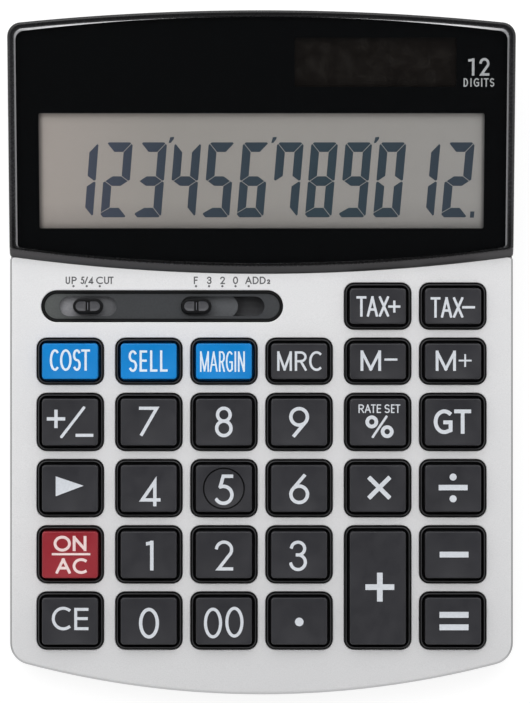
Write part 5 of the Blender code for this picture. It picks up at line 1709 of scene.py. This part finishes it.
def make_screw(name, head_height):
    """A pan-head screw seen from below, with a cross recess and a threaded shank."""
    centre, low, high = plan_place(name)
    edge = reversed(rounding(SCREW_EDGE_ROUND))
    profile = [(SCREW_HEAD_RADIUS - inset, low.z + drop) for inset, drop in edge]
    z = low.z + head_height
    profile.append((SCREW_HEAD_RADIUS, z))
    while z < high.z - THREAD_END:
        profile += [(SCREW_RADIUS - inset, z + rise) for inset, rise in THREAD_TURN]
        z += THREAD_PITCH
    profile.append((SCREW_RADIUS / 2, high.z))
    skin = Skin()
    face, point = skin.tube(turned(centre, profile))
    skin.face(point)
    mouth = skin.pit([
        at(cross_outline(*CROSS_MOUTH, centre), low.z),
        at(cross_outline(*CROSS_FLOOR, centre), low.z + head_height * CROSS_DEPTH_SHARE),
    ])
    skin.fill([face, mouth], UP)
    make_piece(f"{name}_body", skin, [steel], name, "steel")


def make_battery_cover():
    """The plate over the cell, with rounded edges, three finger grooves and a sunk screw hole."""
    middle, low, high = plan_place("battery_cover")
    size = high - low
    screw, _, _ = plan_place("cover_screw")
    skin = Skin()
    rings = [at(rounded_rectangle(size.x, size.y, COVER_RECESS_ROUND, middle), high.z)]
    for inset, rise in rounding(COVER_EDGE_ROUND, 4):
        corner = COVER_RECESS_ROUND - inset
        outline = rounded_rectangle(size.x - 2 * inset, size.y - 2 * inset, corner, middle)
        rings.append(at(outline, low.z + rise))
    top, face = skin.tube(rings)
    bore = SCREW_HEAD_RADIUS + FIT
    shank = SCREW_RADIUS + FIT
    mouth, through = skin.tube(turned(screw, (
        (bore + EDGE_BREAK, low.z), (bore, low.z + EDGE_BREAK), (bore, low.z + COVER_LAND),
        (shank, low.z + COVER_LAND), (shank, high.z),
    )))
    faces = [face, mouth]
    for number in range(3):
        place = (middle.x, low.y + GROOVE_EDGE + GROOVE_WIDTH * (1 + 2 * number))
        faces.append(skin.pit([
            at(stadium(GROOVE_LENGTH + length, GROOVE_WIDTH + width, place), low.z + depth)
            for length, width, depth in GROOVE_PROFILE
        ]))
    skin.fill(faces, UP)
    skin.fill([top, through], UP)
    make_piece("battery_cover_plate", skin, [case_black], "battery_cover", "case_plastic")


make_keyboard_cover()
make_key_frame()
BLUE_KEYS = ("key_cost", "key_sell", "key_margin")
KEY_FINISHES = dict.fromkeys(KEYS, (key_dark, "key_plastic", ink_light))
KEY_FINISHES.update(dict.fromkeys(BLUE_KEYS, (key_blue, "key_blue_plastic", ink_blue_key)))
KEY_FINISHES["key_on_clear"] = (key_red, "key_red_plastic", ink_red_key)
for key, (plastic, slot, ink) in KEY_FINISHES.items():
    make_key(key, plastic, slot)
    make_legend(key, KEY_LEGENDS[key], ink)
make_labels()
make_switch_panel()
make_switch("rounding_switch")
make_switch("decimal_switch")
make_membrane()
make_head_housing()
make_window()
make_window_print()
make_digits()
make_bottom_case()
make_battery_cover()
for number in range(1, 5):
    make_foot(f"rubber_foot_{number}")
    make_screw(f"case_screw_{number}", CASE_SCREW_HEAD)
make_screw("cover_screw", COVER_SCREW_HEAD)


# Floor, light and camera


FLOOR_SIZE = 6
FLOOR_GLOW = 1.62
WORLD_LIGHT = 0.86
CEILING_WAY = (0, -0.276, 0.961)


def sees_background(tree):
    """1 for the rays that show the background: the camera's own, and those mirrored or let through."""
    path = tree.nodes.new("ShaderNodeLightPath").outputs
    rays = {0: path["Is Glossy Ray"], 1: path["Is Transmission Ray"]}
    mirrored = socket(tree, "Math", rays, operation="MAXIMUM")
    return socket(tree, "Math", {0: path["Is Camera Ray"], 1: mirrored}, operation="MAXIMUM")


def make_floor():
    """A plain white floor. For the camera it is white where the light is full, and it keeps the shadow."""
    material, tree = new_tree("floor")
    dull = socket(tree, "BsdfDiffuse", {"Color": mottled(tree, noise(tree, PAPER, 3), grey(0.6), grey(0.63))})
    glow = socket(tree, "Emission", {"Color": (1, 1, 1, 1), "Strength": FLOOR_GLOW})
    bright = socket(tree, "MixShader", {0: 0.5, 1: dull, 2: glow})
    finish_tree(tree, socket(tree, "MixShader", {0: sees_background(tree), 1: dull, 2: bright}))
    bpy.ops.mesh.primitive_plane_add(size=FLOOR_SIZE)
    floor = bpy.context.active_object
    floor.name = "floor"
    floor.data.materials.append(material)


def make_world():
    """White all round, darker overhead, so that the glossy window looks into a dark ceiling."""
    world = bpy.data.worlds.new("studio")
    world.use_nodes = True
    bpy.context.scene.world = world
    tree = world.node_tree
    tree.nodes.clear()
    ray = socket(tree, "TexCoord", {}, "Generated")
    overhead = socket(tree, "VectorMath", {0: ray, 1: CEILING_WAY}, "Value", operation="DOT_PRODUCT")
    ceiling = ramp(tree, overhead, ((0.905, grey(1)), (0.962, (0.03, 0.03, 0.032))))
    rise = socket(tree, "SeparateXYZ", {"Vector": ray}, "Z")
    walls = ramp(tree, rise, ((0.0, grey(0.35)), (0.55, grey(1))))
    light = socket(tree, "Background", {"Color": times(tree, ceiling, walls), "Strength": WORLD_LIGHT})
    white = socket(tree, "Background", {"Color": ceiling, "Strength": 1.0})
    mix = socket(tree, "MixShader", {0: sees_background(tree), 1: light, 2: white})
    node(tree, "OutputWorld", {"Surface": mix})


def make_lamp(name, place, size, power):
    lamp = bpy.data.lights.new(name, "AREA")
    lamp.shape = "RECTANGLE"
    lamp.size, lamp.size_y = size
    lamp.energy = power
    obj = bpy.data.objects.new(name, lamp)
    bpy.context.scene.collection.objects.link(obj)
    obj.location = place
    obj.rotation_euler = (-Vector(place)).to_track_quat("-Z", "Y").to_euler()


def make_camera():
    camera = bpy.data.cameras.new("camera")
    camera.sensor_fit = "HORIZONTAL"
    camera.sensor_width = SENSOR_WIDTH
    camera.lens = SENSOR_WIDTH * CAMERA_DISTANCE / VIEW_WIDTH
    obj = bpy.data.objects.new("camera", camera)
    bpy.context.scene.collection.objects.link(obj)
    obj.matrix_world = Matrix.Scale(MM, 4) @ DECK @ Matrix.Translation((*CAMERA_AIM, CAMERA_DISTANCE))
    obj.scale = (1, 1, 1)
    bpy.context.scene.camera = obj


make_floor()
make_world()
make_lamp("key_light", (-0.36, 0.36, 0.7), (0.6, 0.6), 1.85)
make_lamp("back_light", (0.16, 0.5, 0.56), (0.8, 0.5), 1.75)
make_camera()
bpy.context.scene.view_settings.view_transform = "Standard"
